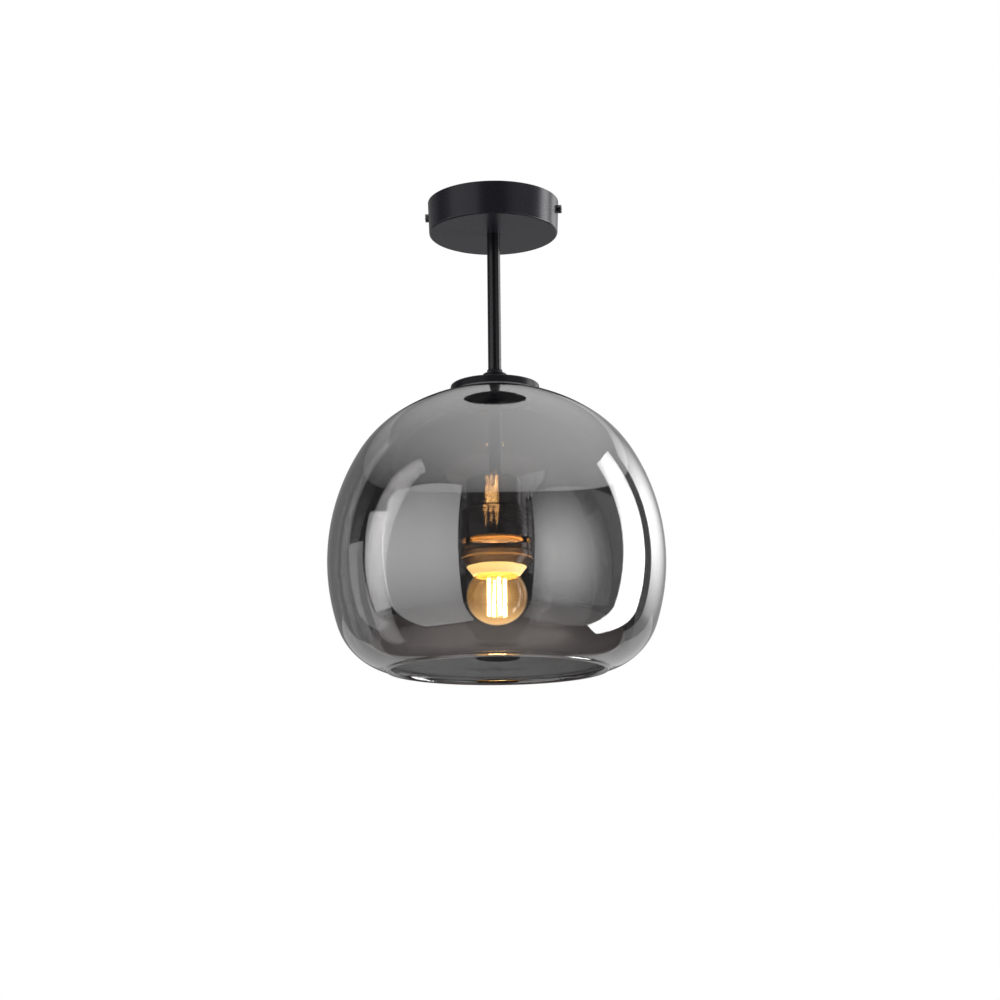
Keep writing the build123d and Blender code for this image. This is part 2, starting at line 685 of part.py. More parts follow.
def make_holder_cover():
    """Upper half of the lampholder: a moulded cup with an inner boss that screws onto the rod."""
    inner_r = COVER_R - COVER_WALL
    boss_r = rod_hole_r + COVER_BOSS_WALL
    roof_z = cover_top_z - COVER_TOP_T
    cover = turned_rounded([
        (rod_hole_r, cover_top_z, 0), (COVER_R, cover_top_z, COVER_ROUND_R), (COVER_R, cover_low_z, 0),
        (inner_r, cover_low_z, 0), (inner_r, roof_z, 0), (boss_r, roof_z, 0), (boss_r, rod_low_z, 0),
        (rod_hole_r, rod_low_z, 0),
    ])
    return cover - along_x(ring(GRUB_R + THREAD_GAP, 0, 0, boss_r + OVERRUN), grub_height())


def grub_height():
    """Height of the grub screw, half way down the boss inside the cover."""
    return (cover_top_z - COVER_TOP_T + rod_low_z) / 2


def make_holder_grub_screw():
    """Grub screw that stops the lampholder from turning on the rod."""
    end = rod_hole_r + COVER_BOSS_WALL
    screw = ring(GRUB_R, 0, rod_hole_r, end)
    screw -= Pos(0, 0, end) * Box(DRIVER_SLOT_W, 2 * GRUB_R + OVERRUN, 2 * DRIVER_SLOT_DEPTH)
    return along_x(screw, grub_height())


def make_holder_skirt():
    """Lower half of the lampholder: a moulded sleeve with a coarse outer thread and a ledge for the core."""
    lap_r = COVER_R - COVER_WALL - SKIRT_LAP_GAP
    root_r = SKIRT_R - SKIRT_THREAD_DEPTH
    ledge_r = skirt_bore_r - LEDGE_W
    turns = int((cover_low_z - skirt_low_z) / SKIRT_PITCH)
    return turned(
        (skirt_bore_r, skirt_top_z), (lap_r, skirt_top_z), (lap_r, cover_low_z),
        *thread(root_r, SKIRT_R, cover_low_z, turns, SKIRT_PITCH),
        (root_r, skirt_low_z), (skirt_bore_r, skirt_low_z), (skirt_bore_r, ledge_low_z),
        (ledge_r, ledge_low_z), (ledge_r, ledge_top_z), (skirt_bore_r, ledge_top_z),
    )


def rivet_places():
    """Where the two rivets pass the core: the inner one to the centre contact, the outer one to the shell."""
    return [Pos(0, -TERMINAL_Y + RIVET_INSET, 0), Pos(0, TERMINAL_Y + RIVET_INSET, 0)]


def make_holder_core():
    """Glazed ceramic insulator: a thick disc for the terminals, with a wall round the screw shell."""
    wall_r = core_r - CORE_WALL
    core = turned(
        (0, core_top_z), (core_r, core_top_z), (core_r, ledge_top_z), (wall_r, ledge_top_z),
        (wall_r, core_low_z), (0, core_low_z),
    )
    for place in rivet_places():
        core -= place * ring(RIVET_R + RIVET_GAP, 0, core_low_z - OVERRUN, core_top_z + OVERRUN)
    return core


def make_screw_shell():
    """Pressed metal shell that the lamp screws into, held by a flange under the core."""
    outer = [(radius + SHELL_T, z) for radius, z in shell_waves()]
    inner = list(reversed(shell_waves()))
    low = core_low_z - SHELL_L
    return turned(
        (shell_r - SHELL_FLANGE + SHELL_T, core_low_z), (shell_outer_r, core_low_z),
        (shell_outer_r, core_low_z - SHELL_T), *outer, (shell_r + SHELL_T, low), (shell_r, low), *inner,
        (shell_r, core_low_z - SHELL_T), (shell_r - SHELL_FLANGE + SHELL_T, core_low_z - SHELL_T),
    )


def shell_waves():
    """Points down the inside of the screw shell, whose thread bulges outwards and clears the lamp's."""
    top = core_low_z - LAMP_PITCH
    return thread(shell_r, shell_r + SHELL_WAVE, top, int(SHELL_L / LAMP_PITCH) - 1, LAMP_PITCH)


def make_centre_contact():
    """Springy strip from the live rivet to the middle of the shell, where the lamp's tip meets it."""
    start = -TERMINAL_Y + RIVET_INSET - RIVET_R
    bend = -TERMINAL_Y / 2
    upper = [(start, core_low_z), (bend, core_low_z), (-RIVET_R, core_low_z - CONTACT_DROP),
             (2 * RIVET_R, core_low_z - CONTACT_DROP)]
    lower = [(y, z - CONTACT_T) for y, z in reversed(upper)]
    outline = Polyline(*[(0, y, z) for y, z in upper + lower], close=True)
    return extrude(make_face(outline), CONTACT_W / 2, dir=(1, 0, 0), both=True)


def make_contact_rivets():
    """Rivets that join the wire terminals above the core to the contacts below it."""
    rivet = ring(RIVET_R, 0, core_low_z, core_top_z)
    return Compound(children=[place * rivet for place in rivet_places()])


def terminal_screw_height():
    """Height of the screws in the holder's terminals, beside the wires' ends."""
    return terminal_top_z - TERMINAL_BORE_DEPTH / 2


def terminal_screw_bore(radius):
    """Bar along +Y from a terminal's wire outwards, used for its screw and its screw hole."""
    start = TERMINAL_Y + WIRE_R + THREAD_GAP
    end = TERMINAL_Y + TERMINAL_W / 2
    height = terminal_screw_height()
    return rod_between((0, start, height), (0, end, height), radius)


def make_wire_terminals():
    """Brass blocks on the core that take the ends of the live and the neutral wire."""
    block = Pos(0, TERMINAL_Y, core_top_z + TERMINAL_H / 2) * Box(TERMINAL_W, TERMINAL_W, TERMINAL_H)
    block -= Pos(0, TERMINAL_Y, 0) * ring(
        TERMINAL_BORE_R, 0, terminal_top_z - TERMINAL_BORE_DEPTH, terminal_top_z + OVERRUN
    )
    block -= terminal_screw_bore(TERMINAL_SCREW_R + THREAD_GAP)
    return Compound(children=[block, Rot(0, 0, 180) * block])


def make_terminal_screws():
    """Screws in the sides of the wire terminals."""
    end = TERMINAL_Y + TERMINAL_W / 2
    height = terminal_screw_height()
    head = rod_between((0, end, height), (0, end + TERMINAL_HEAD_H, height), TERMINAL_HEAD_R)
    head -= Pos(0, end + TERMINAL_HEAD_H, height) * Box(
        2 * TERMINAL_HEAD_R + OVERRUN, DRIVER_SLOT_DEPTH, DRIVER_SLOT_W
    )
    screw = terminal_screw_bore(TERMINAL_SCREW_R) + head
    return Compound(children=[screw, Rot(0, 0, 180) * screw])


def make_shade_ring_upper():
    """Tall moulded ring: a threaded web at its top, a thin wall below and grip ribs round the outside."""
    wall_r = RING_R - UPPER_RING_WALL
    web_z = upper_ring_top_z - UPPER_RING_WEB
    ribs = thread(RING_R - RIB_DEPTH, RING_R, upper_ring_top_z, UPPER_RING_RIBS, RIB_PITCH)
    return turned(
        (ring_bore_r, upper_ring_top_z), *ribs, (RING_R, upper_ring_top_z - UPPER_RING_RIBS * RIB_PITCH),
        (RING_R, upper_ring_low_z), (wall_r, upper_ring_low_z), (wall_r, web_z), (ring_bore_r, web_z),
    )


def make_shade_ring_lower():
    """Lower ring: a collar, a groove and a wider flange that tapers to a flared mouth round the lamp."""
    groove_top = lower_ring_top_z - LOWER_RING_COLLAR_H
    groove_r = LOWER_RING_COLLAR_R - LOWER_RING_GROOVE
    thread_low = lower_ring_top_z - LOWER_RING_THREAD_H
    return turned(
        (ring_bore_r, lower_ring_top_z), (LOWER_RING_COLLAR_R - RING_BEVEL, lower_ring_top_z),
        (LOWER_RING_COLLAR_R, lower_ring_top_z - RING_BEVEL), (LOWER_RING_COLLAR_R, groove_top),
        (groove_r, groove_top), (groove_r, lower_ring_flange_z), (RING_R, lower_ring_flange_z),
        (RING_R, lower_ring_taper_z + RING_BEVEL), (RING_R - RING_BEVEL, lower_ring_taper_z),
        (LOWER_RING_MOUTH_R + LOWER_RING_LIP, lower_ring_low_z), (LOWER_RING_MOUTH_R, lower_ring_low_z),
        (ring_bore_r, thread_low),
    )


def make_lamp_cap():
    """Threaded metal cap of the lamp, drawn as rings, with a plain rim at the glass."""
    rim_r = LAMP_CREST_R
    outer = thread(lamp_root_r, LAMP_CREST_R, lamp_thread_top_z, LAMP_TURNS, LAMP_PITCH)
    top_r = LAMP_INSULATOR_R + SEAL_GAP
    return turned(
        (top_r, lamp_thread_top_z + LAMP_CAP_WALL), (lamp_root_r, lamp_thread_top_z + LAMP_CAP_WALL), *outer,
        (lamp_root_r, lamp_thread_low_z), (rim_r, lamp_thread_low_z - LAMP_CAP_WALL), (rim_r, lamp_rim_z),
        (lamp_bore_r, lamp_rim_z), (lamp_bore_r, lamp_thread_top_z), (top_r, lamp_thread_top_z),
    )


def make_lamp_insulator():
    """Dark glass bead between the lamp's cap and its tip contact."""
    foot_z = lamp_thread_top_z - LAMP_CAP_WALL
    return turned(
        (LAMP_CONTACT_R, lamp_insulator_top_z), (LAMP_INSULATOR_R, lamp_thread_top_z + LAMP_CAP_WALL),
        (LAMP_INSULATOR_R, foot_z), (LAMP_CONTACT_R - LAMP_CAP_WALL, foot_z),
        (LAMP_CONTACT_R - LAMP_CAP_WALL, lamp_insulator_top_z),
    )


def make_lamp_contact():
    """Tip contact of the lamp: a low dome on a stalk through the insulator."""
    dome_low = lamp_insulator_top_z
    stalk_r = LAMP_CONTACT_R - LAMP_CAP_WALL - SEAL_GAP
    stalk_low = lamp_thread_top_z - LAMP_CAP_WALL
    dome_r = (LAMP_CONTACT_R**2 + LAMP_CONTACT_H**2) / (2 * LAMP_CONTACT_H)
    half_angle = degrees(asin(LAMP_CONTACT_R / dome_r))
    dome = arc((0, lamp_top_z - dome_r), dome_r, 0, half_angle)
    corners = [dome @ 1, (stalk_r, 0, dome_low), (stalk_r, 0, stalk_low), (0, 0, stalk_low), dome @ 0]
    return revolve(make_face([dome, *Polyline(*corners).edges()]), Axis.Z)


def bulb_side(inset):
    """Side of the bulb from its neck down to the middle of its foot, moved inwards by inset."""
    turn = degrees(asin(bulb_reach / (BULB_R + BULB_NECK_ROUND_R)))
    hollow = arc((bulb_reach, bulb_round_z), BULB_NECK_ROUND_R + inset, 270, 180 + turn)
    ball = arc((0, bulb_centre_z), BULB_R - inset, turn, 180)
    neck = Line((bulb_neck_r - inset, 0, stem_top_z), hollow @ 0)
    return [neck, hollow, ball]


def make_bulb_glass():
    """Clear round bulb with a short neck that is cemented into the lamp's cap."""
    outer = bulb_side(0)
    inner = bulb_side(BULB_WALL)
    ends = [Line(outer[0] @ 0, inner[0] @ 0), Line(outer[-1] @ 1, inner[-1] @ 1)]
    return revolve(make_face([*outer, *inner, *ends]), Axis.Z)


def make_lamp_collar():
    """Frosted collar of the lamp: a sleeve on the neck, a web, and a cone from the ring's width to the bulb."""
    sleeve_r = bulb_neck_r + SEAL_GAP
    sleeve_top = lamp_rim_z - COLLAR_DROP
    neck_fall = bulb_round_z - collar_web_z
    web_r = bulb_reach - sqrt(BULB_NECK_ROUND_R**2 - neck_fall**2) + SEAL_GAP
    rim_r = LOWER_RING_MOUTH_R
    return turned(
        (sleeve_r, sleeve_top), (LAMP_CREST_R, sleeve_top), (LAMP_CREST_R, collar_top_z), (rim_r, collar_top_z),
        (COLLAR_LOW_R + COLLAR_WALL, collar_low_z), (COLLAR_LOW_R, collar_low_z),
        (rim_r - 2 * COLLAR_WALL, collar_web_z), (web_r, collar_web_z), (sleeve_r, bulb_round_z),
    )


def make_bulb_stem():
    """Glass stem: a flare that closes the neck, a tube and a thin post down the middle of the bulb."""
    flare_r = bulb_neck_r - BULB_WALL - STEM_FLARE_GAP
    flare_low = stem_top_z - STEM_FLARE_T
    return turned(
        (0, stem_top_z), (flare_r, stem_top_z), (flare_r, flare_low), (STEM_R, flare_low - STEM_FLARE_T),
        (STEM_R, stem_low_z), (POST_R, stem_low_z - STEM_FLARE_T), (POST_R, filament_low_z - POST_R),
        (0, filament_low_z - POST_R),
    )


def filament_ends(number):
    """Upper and lower end of one light filament, which leans outwards and a little round the post."""
    angle = radians(FILAMENT_FIRST_ANGLE + number * 360 / FILAMENTS)
    twist = radians(FILAMENT_TWIST_ANGLE)
    upper = (FILAMENT_TOP_R * cos(angle), FILAMENT_TOP_R * sin(angle), filament_top_z)
    lower = (FILAMENT_LOW_R * cos(angle + twist), FILAMENT_LOW_R * sin(angle + twist), filament_low_z)
    return upper, lower


def make_bulb_filaments():
    """Light filaments, thin coated sticks that stand round the post."""
    return Compound(children=[rod_between(*filament_ends(number), FILAMENT_R) for number in range(FILAMENTS)])


def make_bulb_leads():
    """Short wires from the post to both ends of each filament."""
    leads = []
    for number in range(FILAMENTS):
        for end, step in zip(filament_ends(number), (1, -1)):
            height = end[2] + step * (LEAD_R + LEAD_GAP)
            outward = Vector(end[0], end[1], 0).normalized()
            start = outward * (POST_R + LEAD_GAP)
            leads.append(rod_between((start.X, start.Y, height), (end[0], end[1], height), LEAD_R))
    return Compound(children=leads)


def make_lamp_driver():
    """Driver inside the lamp's cap: a small board and its capacitor."""
    board_x = min(BOARD_W / 2, lamp_bore_r - BOARD_GAP)
    board_top = lamp_thread_top_z - LAMP_CAP_WALL - BOARD_GAP
    board = Pos(0, 0, board_top - BOARD_H / 2) * Box(2 * board_x, BOARD_T, BOARD_H)
    can_y = BOARD_T / 2 + CAPACITOR_R + LEAD_GAP
    board_low = board_top - BOARD_H
    capacitor = Pos(0, can_y, 0) * ring(CAPACITOR_R, 0, board_low, board_low + CAPACITOR_H)
    return Compound(children=[board, capacitor])


def build():
    """All pieces by name."""
    right_screw = make_side_screw()
    return {
        "mounting_bracket": make_mounting_bracket(),
        "side_screw_right": right_screw,
        "side_screw_left": Rot(0, 0, 180) * right_screw,
        "canopy": make_canopy(),
        "canopy_hub": make_canopy_hub(),
        "tooth_washer": make_tooth_washer(),
        "rod_lock_nut": hex_nut(washer_top_z, lock_nut_top_z),
        "rod": make_rod(),
        "rod_bush": make_rod_bush(),
        "terminal_block": make_terminal_block(),
        "terminal_clamps": make_terminal_clamps(),
        "clamp_screws": make_clamp_screws(),
        "block_screw": make_block_screw(),
        "earth_lug": make_earth_lug(),
        "earth_screw": make_earth_screw(),
        "earth_wire": make_earth_wire(),
        "live_wire": supply_wire("live_wire", pole_ys[0], -1),
        "neutral_wire": supply_wire("neutral_wire", pole_ys[1], 1),
        "shade_cap": make_shade_cap(),
        "cap_seal": make_cap_seal(),
        "glass_shade": make_glass_shade(),
        "under_seal": make_under_seal(),
        "clamp_plate": make_clamp_plate(),
        "clamp_nut": hex_nut(clamp_nut_low_z, clamp_low_z),
        "holder_cover": make_holder_cover(),
        "holder_grub_screw": make_holder_grub_screw(),
        "holder_skirt": make_holder_skirt(),
        "holder_core": make_holder_core(),
        "screw_shell": make_screw_shell(),
        "centre_contact": make_centre_contact(),
        "contact_rivets": make_contact_rivets(),
        "wire_terminals": make_wire_terminals(),
        "terminal_screws": make_terminal_screws(),
        "shade_ring_upper": make_shade_ring_upper(),
        "shade_ring_lower": make_shade_ring_lower(),
        "lamp_cap": make_lamp_cap(),
        "lamp_insulator": make_lamp_insulator(),
        "lamp_contact": make_lamp_contact(),
        "lamp_driver": make_lamp_driver(),
        "bulb_glass": make_bulb_glass(),
        "lamp_collar": make_lamp_collar(),
        "bulb_stem": make_bulb_stem(),
        "bulb_filaments": make_bulb_filaments(),
        "bulb_leads": make_bulb_leads(),
    }


os.makedirs("parts", exist_ok=True)
pieces = build()
for name, piece in pieces.items():
    export_step(piece, f"parts/{name}.step")
whole = Compound(children=list(pieces.values())).bounding_box()
print("pieces", len(pieces), "overall size", whole.size, "lowest point", round(whole.min.Z, 2))
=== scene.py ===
# %% [markdown]
# # A ceiling light with an open smoked-glass globe
# The light hangs from a black canopy on a thin rod. A black cap holds a blown globe of smoked glass, and
# inside the globe a lampholder with two rings carries one lit round lamp. The solids come packed from the
# CAD model. This lesson keeps every solid whose shape is right, gives each one a finish, and works out
# finer surfaces for the glass, the thread, the rings and the light filaments.

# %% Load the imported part
import json
import math

import bpy
import numpy as np
from mathutils import Matrix, Vector

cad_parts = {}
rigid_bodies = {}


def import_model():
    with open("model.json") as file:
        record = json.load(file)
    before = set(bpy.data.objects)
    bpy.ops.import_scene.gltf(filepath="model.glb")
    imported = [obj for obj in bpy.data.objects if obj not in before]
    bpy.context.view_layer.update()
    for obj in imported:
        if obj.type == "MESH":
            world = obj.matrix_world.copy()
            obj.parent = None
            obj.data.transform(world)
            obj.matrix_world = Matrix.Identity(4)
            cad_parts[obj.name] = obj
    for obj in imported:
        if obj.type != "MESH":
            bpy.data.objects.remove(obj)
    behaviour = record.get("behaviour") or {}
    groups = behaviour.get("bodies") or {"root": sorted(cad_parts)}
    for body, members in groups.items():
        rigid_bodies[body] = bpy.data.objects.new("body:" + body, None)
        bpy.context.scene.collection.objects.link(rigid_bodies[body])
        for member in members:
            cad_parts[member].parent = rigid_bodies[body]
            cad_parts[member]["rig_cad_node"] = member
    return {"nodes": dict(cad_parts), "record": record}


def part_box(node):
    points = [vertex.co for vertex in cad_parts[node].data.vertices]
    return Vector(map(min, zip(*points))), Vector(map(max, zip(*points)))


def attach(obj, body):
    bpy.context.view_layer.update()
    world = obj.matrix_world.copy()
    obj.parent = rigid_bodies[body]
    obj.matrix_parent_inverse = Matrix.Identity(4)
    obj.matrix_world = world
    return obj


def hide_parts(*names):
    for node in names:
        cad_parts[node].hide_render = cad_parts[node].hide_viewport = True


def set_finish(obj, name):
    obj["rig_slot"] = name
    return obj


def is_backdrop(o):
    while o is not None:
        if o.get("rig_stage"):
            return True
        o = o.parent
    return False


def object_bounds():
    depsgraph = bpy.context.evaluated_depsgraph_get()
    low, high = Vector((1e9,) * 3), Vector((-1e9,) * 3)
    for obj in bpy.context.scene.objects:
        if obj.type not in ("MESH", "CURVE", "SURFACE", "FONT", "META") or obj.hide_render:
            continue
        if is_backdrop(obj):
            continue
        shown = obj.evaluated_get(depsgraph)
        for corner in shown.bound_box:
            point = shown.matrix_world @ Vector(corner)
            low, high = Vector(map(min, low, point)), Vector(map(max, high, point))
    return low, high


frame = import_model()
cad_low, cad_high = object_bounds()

MM = 0.001
nodes = frame["nodes"]
slot_of = {entry["node"]: entry["material_slot"] for entry in frame["record"]["subparts"]}
print("nodes", len(nodes), "size in mm", [round((b - a) / MM, 1) for a, b in zip(cad_low, cad_high)])

# %% [markdown]
# ## The camera
# The photograph was taken from a little below the globe, ten degrees to its right, with a fairly long
# lens. The numbers come from fitting the ellipses of the canopy, the cap and the globe's mouth. A camera
# could also be aimed with a constraint, but a plain matrix keeps the small roll of the picture and needs
# nothing else in the scene.

# %% Set up the camera
CAMERA_AZIMUTH = math.radians(10.0)
CAMERA_DISTANCE = 1.5495
CAMERA_HEIGHT = -0.5657
CAMERA_TILT = math.radians(12.14)
CAMERA_PAN = math.radians(-0.108)
CAMERA_ROLL = math.radians(-0.6)
SENSOR_WIDTH = 36.0
LENS_LENGTH = 76.7


def add_object(name, data):
    """A new object in the scene that shows the given camera, mesh or light."""
    added = bpy.data.objects.new(name, data)
    bpy.context.scene.collection.objects.link(added)
    return added


camera_data = bpy.data.cameras.new("photo_camera")
camera_data.sensor_width = SENSOR_WIDTH
camera_data.lens = LENS_LENGTH
camera = add_object("photo_camera", camera_data)
place = Matrix.Translation((
    math.sin(CAMERA_AZIMUTH) * CAMERA_DISTANCE, -math.cos(CAMERA_AZIMUTH) * CAMERA_DISTANCE, CAMERA_HEIGHT))
heading = Matrix.Rotation(CAMERA_AZIMUTH + CAMERA_PAN, 4, "Z")
tilt = Matrix.Rotation(math.pi / 2 + CAMERA_TILT, 4, "X")
camera.matrix_world = place @ (heading @ tilt) @ Matrix.Rotation(CAMERA_ROLL, 4, "Z")
bpy.context.scene.camera = camera
bpy.context.scene.view_settings.view_transform = "Standard"
print("camera at", [round(v, 3) for v in camera.matrix_world.translation])

# %% [markdown]
# ## Surfaces worked out with numpy
# Nearly every piece of this light is turned, blown or pressed round one axis, so one function makes them
# all: an outline of radius and height is carried round the Z axis on a grid. A Screw modifier could do
# this too, but the grid lets a radius change with the angle, as on a screw thread, and closes its seam
# and poles by itself. The points and faces are whole arrays, which go into the mesh at once.

# %% Put arrays into an object
def put_mesh(name, points, faces, sharp_angle=None):
    """A new object from vertex and face arrays, with smooth faces that are sharp only past an angle."""
    mesh = bpy.data.meshes.new(name)
    mesh.from_pydata(points.tolist(), [], [face for block in faces for face in block.tolist()])
    mesh.polygons.foreach_set("use_smooth", np.ones(len(mesh.polygons), bool))
    if sharp_angle is not None:
        mesh.set_sharp_from_angle(angle=math.radians(sharp_angle))
    mesh.update()
    return add_object(name, mesh)


print("meshes from the pack", len(bpy.data.meshes))

# %% A surface carried round the axis
ON_AXIS = 1e-9


def signed_area(outline):
    """Area of a closed outline of (radius, height) points, positive when it runs anticlockwise."""
    r, z = outline[:, 0], outline[:, 1]
    return 0.5 * np.sum(r * np.roll(z, -1) - np.roll(r, -1) * z)


def carried_round(name, outline, segments=192, reach=None, sharp_angle=30.0):
    """Closed surface of turning: x = r cos t, y = r sin t, z = height, for each outline point and angle t.

    The outline is a closed loop of (radius, height) in metres. Rows on the axis become one pole point.
    reach, if given, is a function of (angle, radius, height) grids that returns the radius to use, as for a
    thread."""
    outline = np.asarray(outline, float)
    if signed_area(outline) < 0:
        outline = outline[::-1]
    angle = np.linspace(0.0, 2 * np.pi, segments, endpoint=False)
    radius = np.repeat(outline[:, :1], segments, axis=1)
    height = np.repeat(outline[:, 1:], segments, axis=1)
    pole = outline[:, 0] < ON_AXIS
    if reach is not None:
        radius = np.where(pole[:, None], 0.0, reach(angle[None, :], radius, height))
    grid = np.stack([radius * np.cos(angle), radius * np.sin(angle), height], axis=-1)
    count = np.where(pole, 1, segments)
    start = np.concatenate([[0], np.cumsum(count)[:-1]])
    index = start[:, None] + np.where(pole[:, None], 0, np.arange(segments)[None, :])
    points = np.concatenate([row[:n] for row, n in zip(grid, count)])
    a, b = index, np.roll(index, -1, axis=1)
    c, d = np.roll(b, -1, axis=0), np.roll(a, -1, axis=0)
    whole = ~pole & ~np.roll(pole, -1)
    opens = pole & ~np.roll(pole, -1)
    shuts = ~pole & np.roll(pole, -1)
    quads = np.stack([a, b, c, d], axis=-1)[whole].reshape(-1, 4)
    fans = np.stack([a, c, d], axis=-1)[opens].reshape(-1, 3)
    caps = np.stack([a, b, d], axis=-1)[shuts].reshape(-1, 3)
    return put_mesh(name, points, [quads, fans, caps], sharp_angle)


print("area of a unit square", signed_area(np.array([[0, 0], [1, 0], [1, 1], [0, 1]])))

# %% [markdown]
# ## The blown globe
# The real globe is blown into a mould and its mouth is melted to a round bead. Its side is four arcs that
# run into each other without a corner, 2.6 mm apart for the two faces of the wall. A subdivided ball
# would be near it, but mirror-like glass shows every ripple, so both faces are computed from the arcs at
# a fine step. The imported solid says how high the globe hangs.

# %% Work out the globe's side
# Each arc has a radius in millimetres and the angle from straight up where it ends.
GLASS_ARCS = [(133.5, 35.0), (93.5, 59.0), (153.5, 108.5), (48.5, 169.0)]
GLASS_WALL = 2.6
GLASS_HOLE = 20.0


def top_and_foot(node):
    """Highest and lowest point of a CAD node, in millimetres."""
    low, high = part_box(node)
    return high.z / MM, low.z / MM


def arc(centre, radius, start, end, steps):
    """Points of an arc in the (radius, height) plane, at angles in degrees from straight up."""
    t = np.radians(np.linspace(start, end, steps))
    return np.stack([centre[0] + radius * np.sin(t), centre[1] + radius * np.cos(t)], axis=-1)


def glass_centres():
    """Centre of each arc, in millimetres. The first is on the axis, below the edge of the crown's hole by
    the root of radius squared less hole squared, and each other one on the line where it meets the arc
    above."""
    crown_drop = math.sqrt(GLASS_ARCS[0][0] ** 2 - GLASS_HOLE**2)
    centres = [np.array([0.0, top_and_foot("glass_shade")[0] - crown_drop])]
    for (radius, end), (following, _) in zip(GLASS_ARCS, GLASS_ARCS[1:]):
        t = math.radians(end)
        centres.append(centres[-1] + (radius - following) * np.array([math.sin(t), math.cos(t)]))
    return centres


def glass_side(inset, steps=48):
    """The four arcs from the crown hole to the mouth, moved inwards by inset, as one run of points."""
    start = math.degrees(math.asin(GLASS_HOLE / (GLASS_ARCS[0][0] - inset)))
    runs = []
    for centre, (radius, end) in zip(glass_centres(), GLASS_ARCS):
        runs.append(arc(centre, radius - inset, start, end, steps)[:-1])
        start = end
    return np.concatenate(runs)


print("globe's widest radius in mm", round(glass_side(0.0)[:, 0].max(), 2))

# %% Close the globe with its bead
LIP_R = 2.6
LIP_CLEAR = 1.02
LIP_STEPS = 40


def globe_outline():
    """Outer side, bead and inner side as one closed loop, in metres. The bead is a circle round the end of
    the wall's middle line, and points of the sides that lie in it are dropped."""
    mouth_r, mouth_end = GLASS_ARCS[-1]
    bead = arc(glass_centres()[-1], mouth_r - GLASS_WALL / 2, mouth_end, mouth_end, 1)[0]
    bend = math.degrees(math.acos(GLASS_WALL / 2 / LIP_R))
    lip = arc(bead, LIP_R, mouth_end - bend, mouth_end + 180 + bend, LIP_STEPS)
    outer, inner = [
        side[np.linalg.norm(side - bead, axis=1) > LIP_R * LIP_CLEAR]
        for side in (glass_side(0.0), glass_side(GLASS_WALL))]
    return np.concatenate([outer, lip, inner[::-1]]) * MM


globe = carried_round("smoked_globe", globe_outline(), segments=256, sharp_angle=50.0)
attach(globe, "fixture")
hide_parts("glass_shade")
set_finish(globe, "smoked_glass")
print("globe", len(globe.data.polygons), "faces, box", [round(v, 4) for v in globe.dimensions])

# %% [markdown]
# ## The bulb
# The lamp's bulb is a thin ball that runs into its neck through a hollow curve. The same outline idea
# serves: a straight neck, the hollow arc, the ball, and the same line back inside at the wall's
# thickness.

# %% Work out the bulb
BULB_R = 22.5
BULB_WALL = 0.9
NECK_R = 11.4
NECK_H = 7.7
NECK_ROUND = 6.0
NECK_TOP = top_and_foot("bulb_glass")[0]
NECK_LOW = NECK_TOP - NECK_H
HOLLOW_R = NECK_R + NECK_ROUND
BULB_CENTRE = NECK_LOW - math.sqrt((BULB_R + NECK_ROUND) ** 2 - HOLLOW_R**2)
HOLLOW_STEPS = 14
BALL_STEPS = 64


def bulb_side(inset):
    """Neck, hollow arc and ball down to the foot, moved inwards by inset, in millimetres."""
    turn_at = math.degrees(math.asin(HOLLOW_R / (BULB_R + NECK_ROUND)))
    hollow = arc((HOLLOW_R, NECK_LOW), NECK_ROUND + inset, 270.0, 180.0 + turn_at, HOLLOW_STEPS)
    ball = arc((0.0, BULB_CENTRE), BULB_R - inset, turn_at, 180.0, BALL_STEPS)[1:]
    ball[-1, 0] = 0.0
    return np.concatenate([[[NECK_R - inset, NECK_TOP]], hollow, ball])


bulb_outline = np.concatenate([bulb_side(0.0), bulb_side(BULB_WALL)[::-1]]) * MM
bulb = carried_round("lamp_bulb", bulb_outline, 128)
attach(bulb, "lamp_carriage")
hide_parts("bulb_glass")
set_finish(bulb, "bulb_clear")
print("bulb", len(bulb.data.polygons), "faces")

# %% [markdown]
# ## The holder's thread
# The lampholder's sleeve is moulded with a coarse thread for its rings. The solid model draws it as
# rings, one for each turn. Here the outer radius also depends on the angle, so the thread is a real
# helix: the height is shifted by one pitch in a full turn before the thread's shape is read.

# %% Shape the thread
SKIRT_R = 20.0
SKIRT_BORE = 17.0
SKIRT_WALL_MIDDLE = 18.0
SKIRT_LAP_R = 20.2
SKIRT_LAP_H = 12.0
SKIRT_TOP, THREAD_LOW = top_and_foot("holder_skirt")
THREAD_TOP = SKIRT_TOP - SKIRT_LAP_H
THREAD_DEPTH = 1.1
THREAD_PITCH = 3.7
THREAD_FLANK = 0.28
THREAD_ROOT = 0.35
RUN_IN = 1.5
RUN_OUT = 1.0
HAIR = 0.001


def thread_wave(share):
    """Thread height from 0 to 1 over one pitch: a rounded root, a straight flank and a flat crest."""
    rise = np.clip((0.5 - np.abs((share % 1.0) - 0.5)) / THREAD_FLANK - THREAD_ROOT, 0.0, 1.0)
    return rise * rise * (3 - 2 * rise)


def skirt_reach(angle, radius, height):
    """On the outer side the radius runs between root and crest with height plus angle, and the thread fades
    at both ends."""
    r, z = radius / MM, height / MM
    share = (z - THREAD_TOP) / THREAD_PITCH + angle / (2 * np.pi)
    ends = np.clip((THREAD_TOP - z) / RUN_IN, 0, 1) * np.clip((z - THREAD_LOW) / RUN_OUT, 0, 1)
    threaded = SKIRT_R - THREAD_DEPTH + THREAD_DEPTH * thread_wave(share) * ends
    outside = (z < THREAD_TOP - HAIR) & (r > SKIRT_WALL_MIDDLE)
    return np.where(outside, threaded, r) * MM


print("turns of thread", round((THREAD_TOP - THREAD_LOW) / THREAD_PITCH, 1))

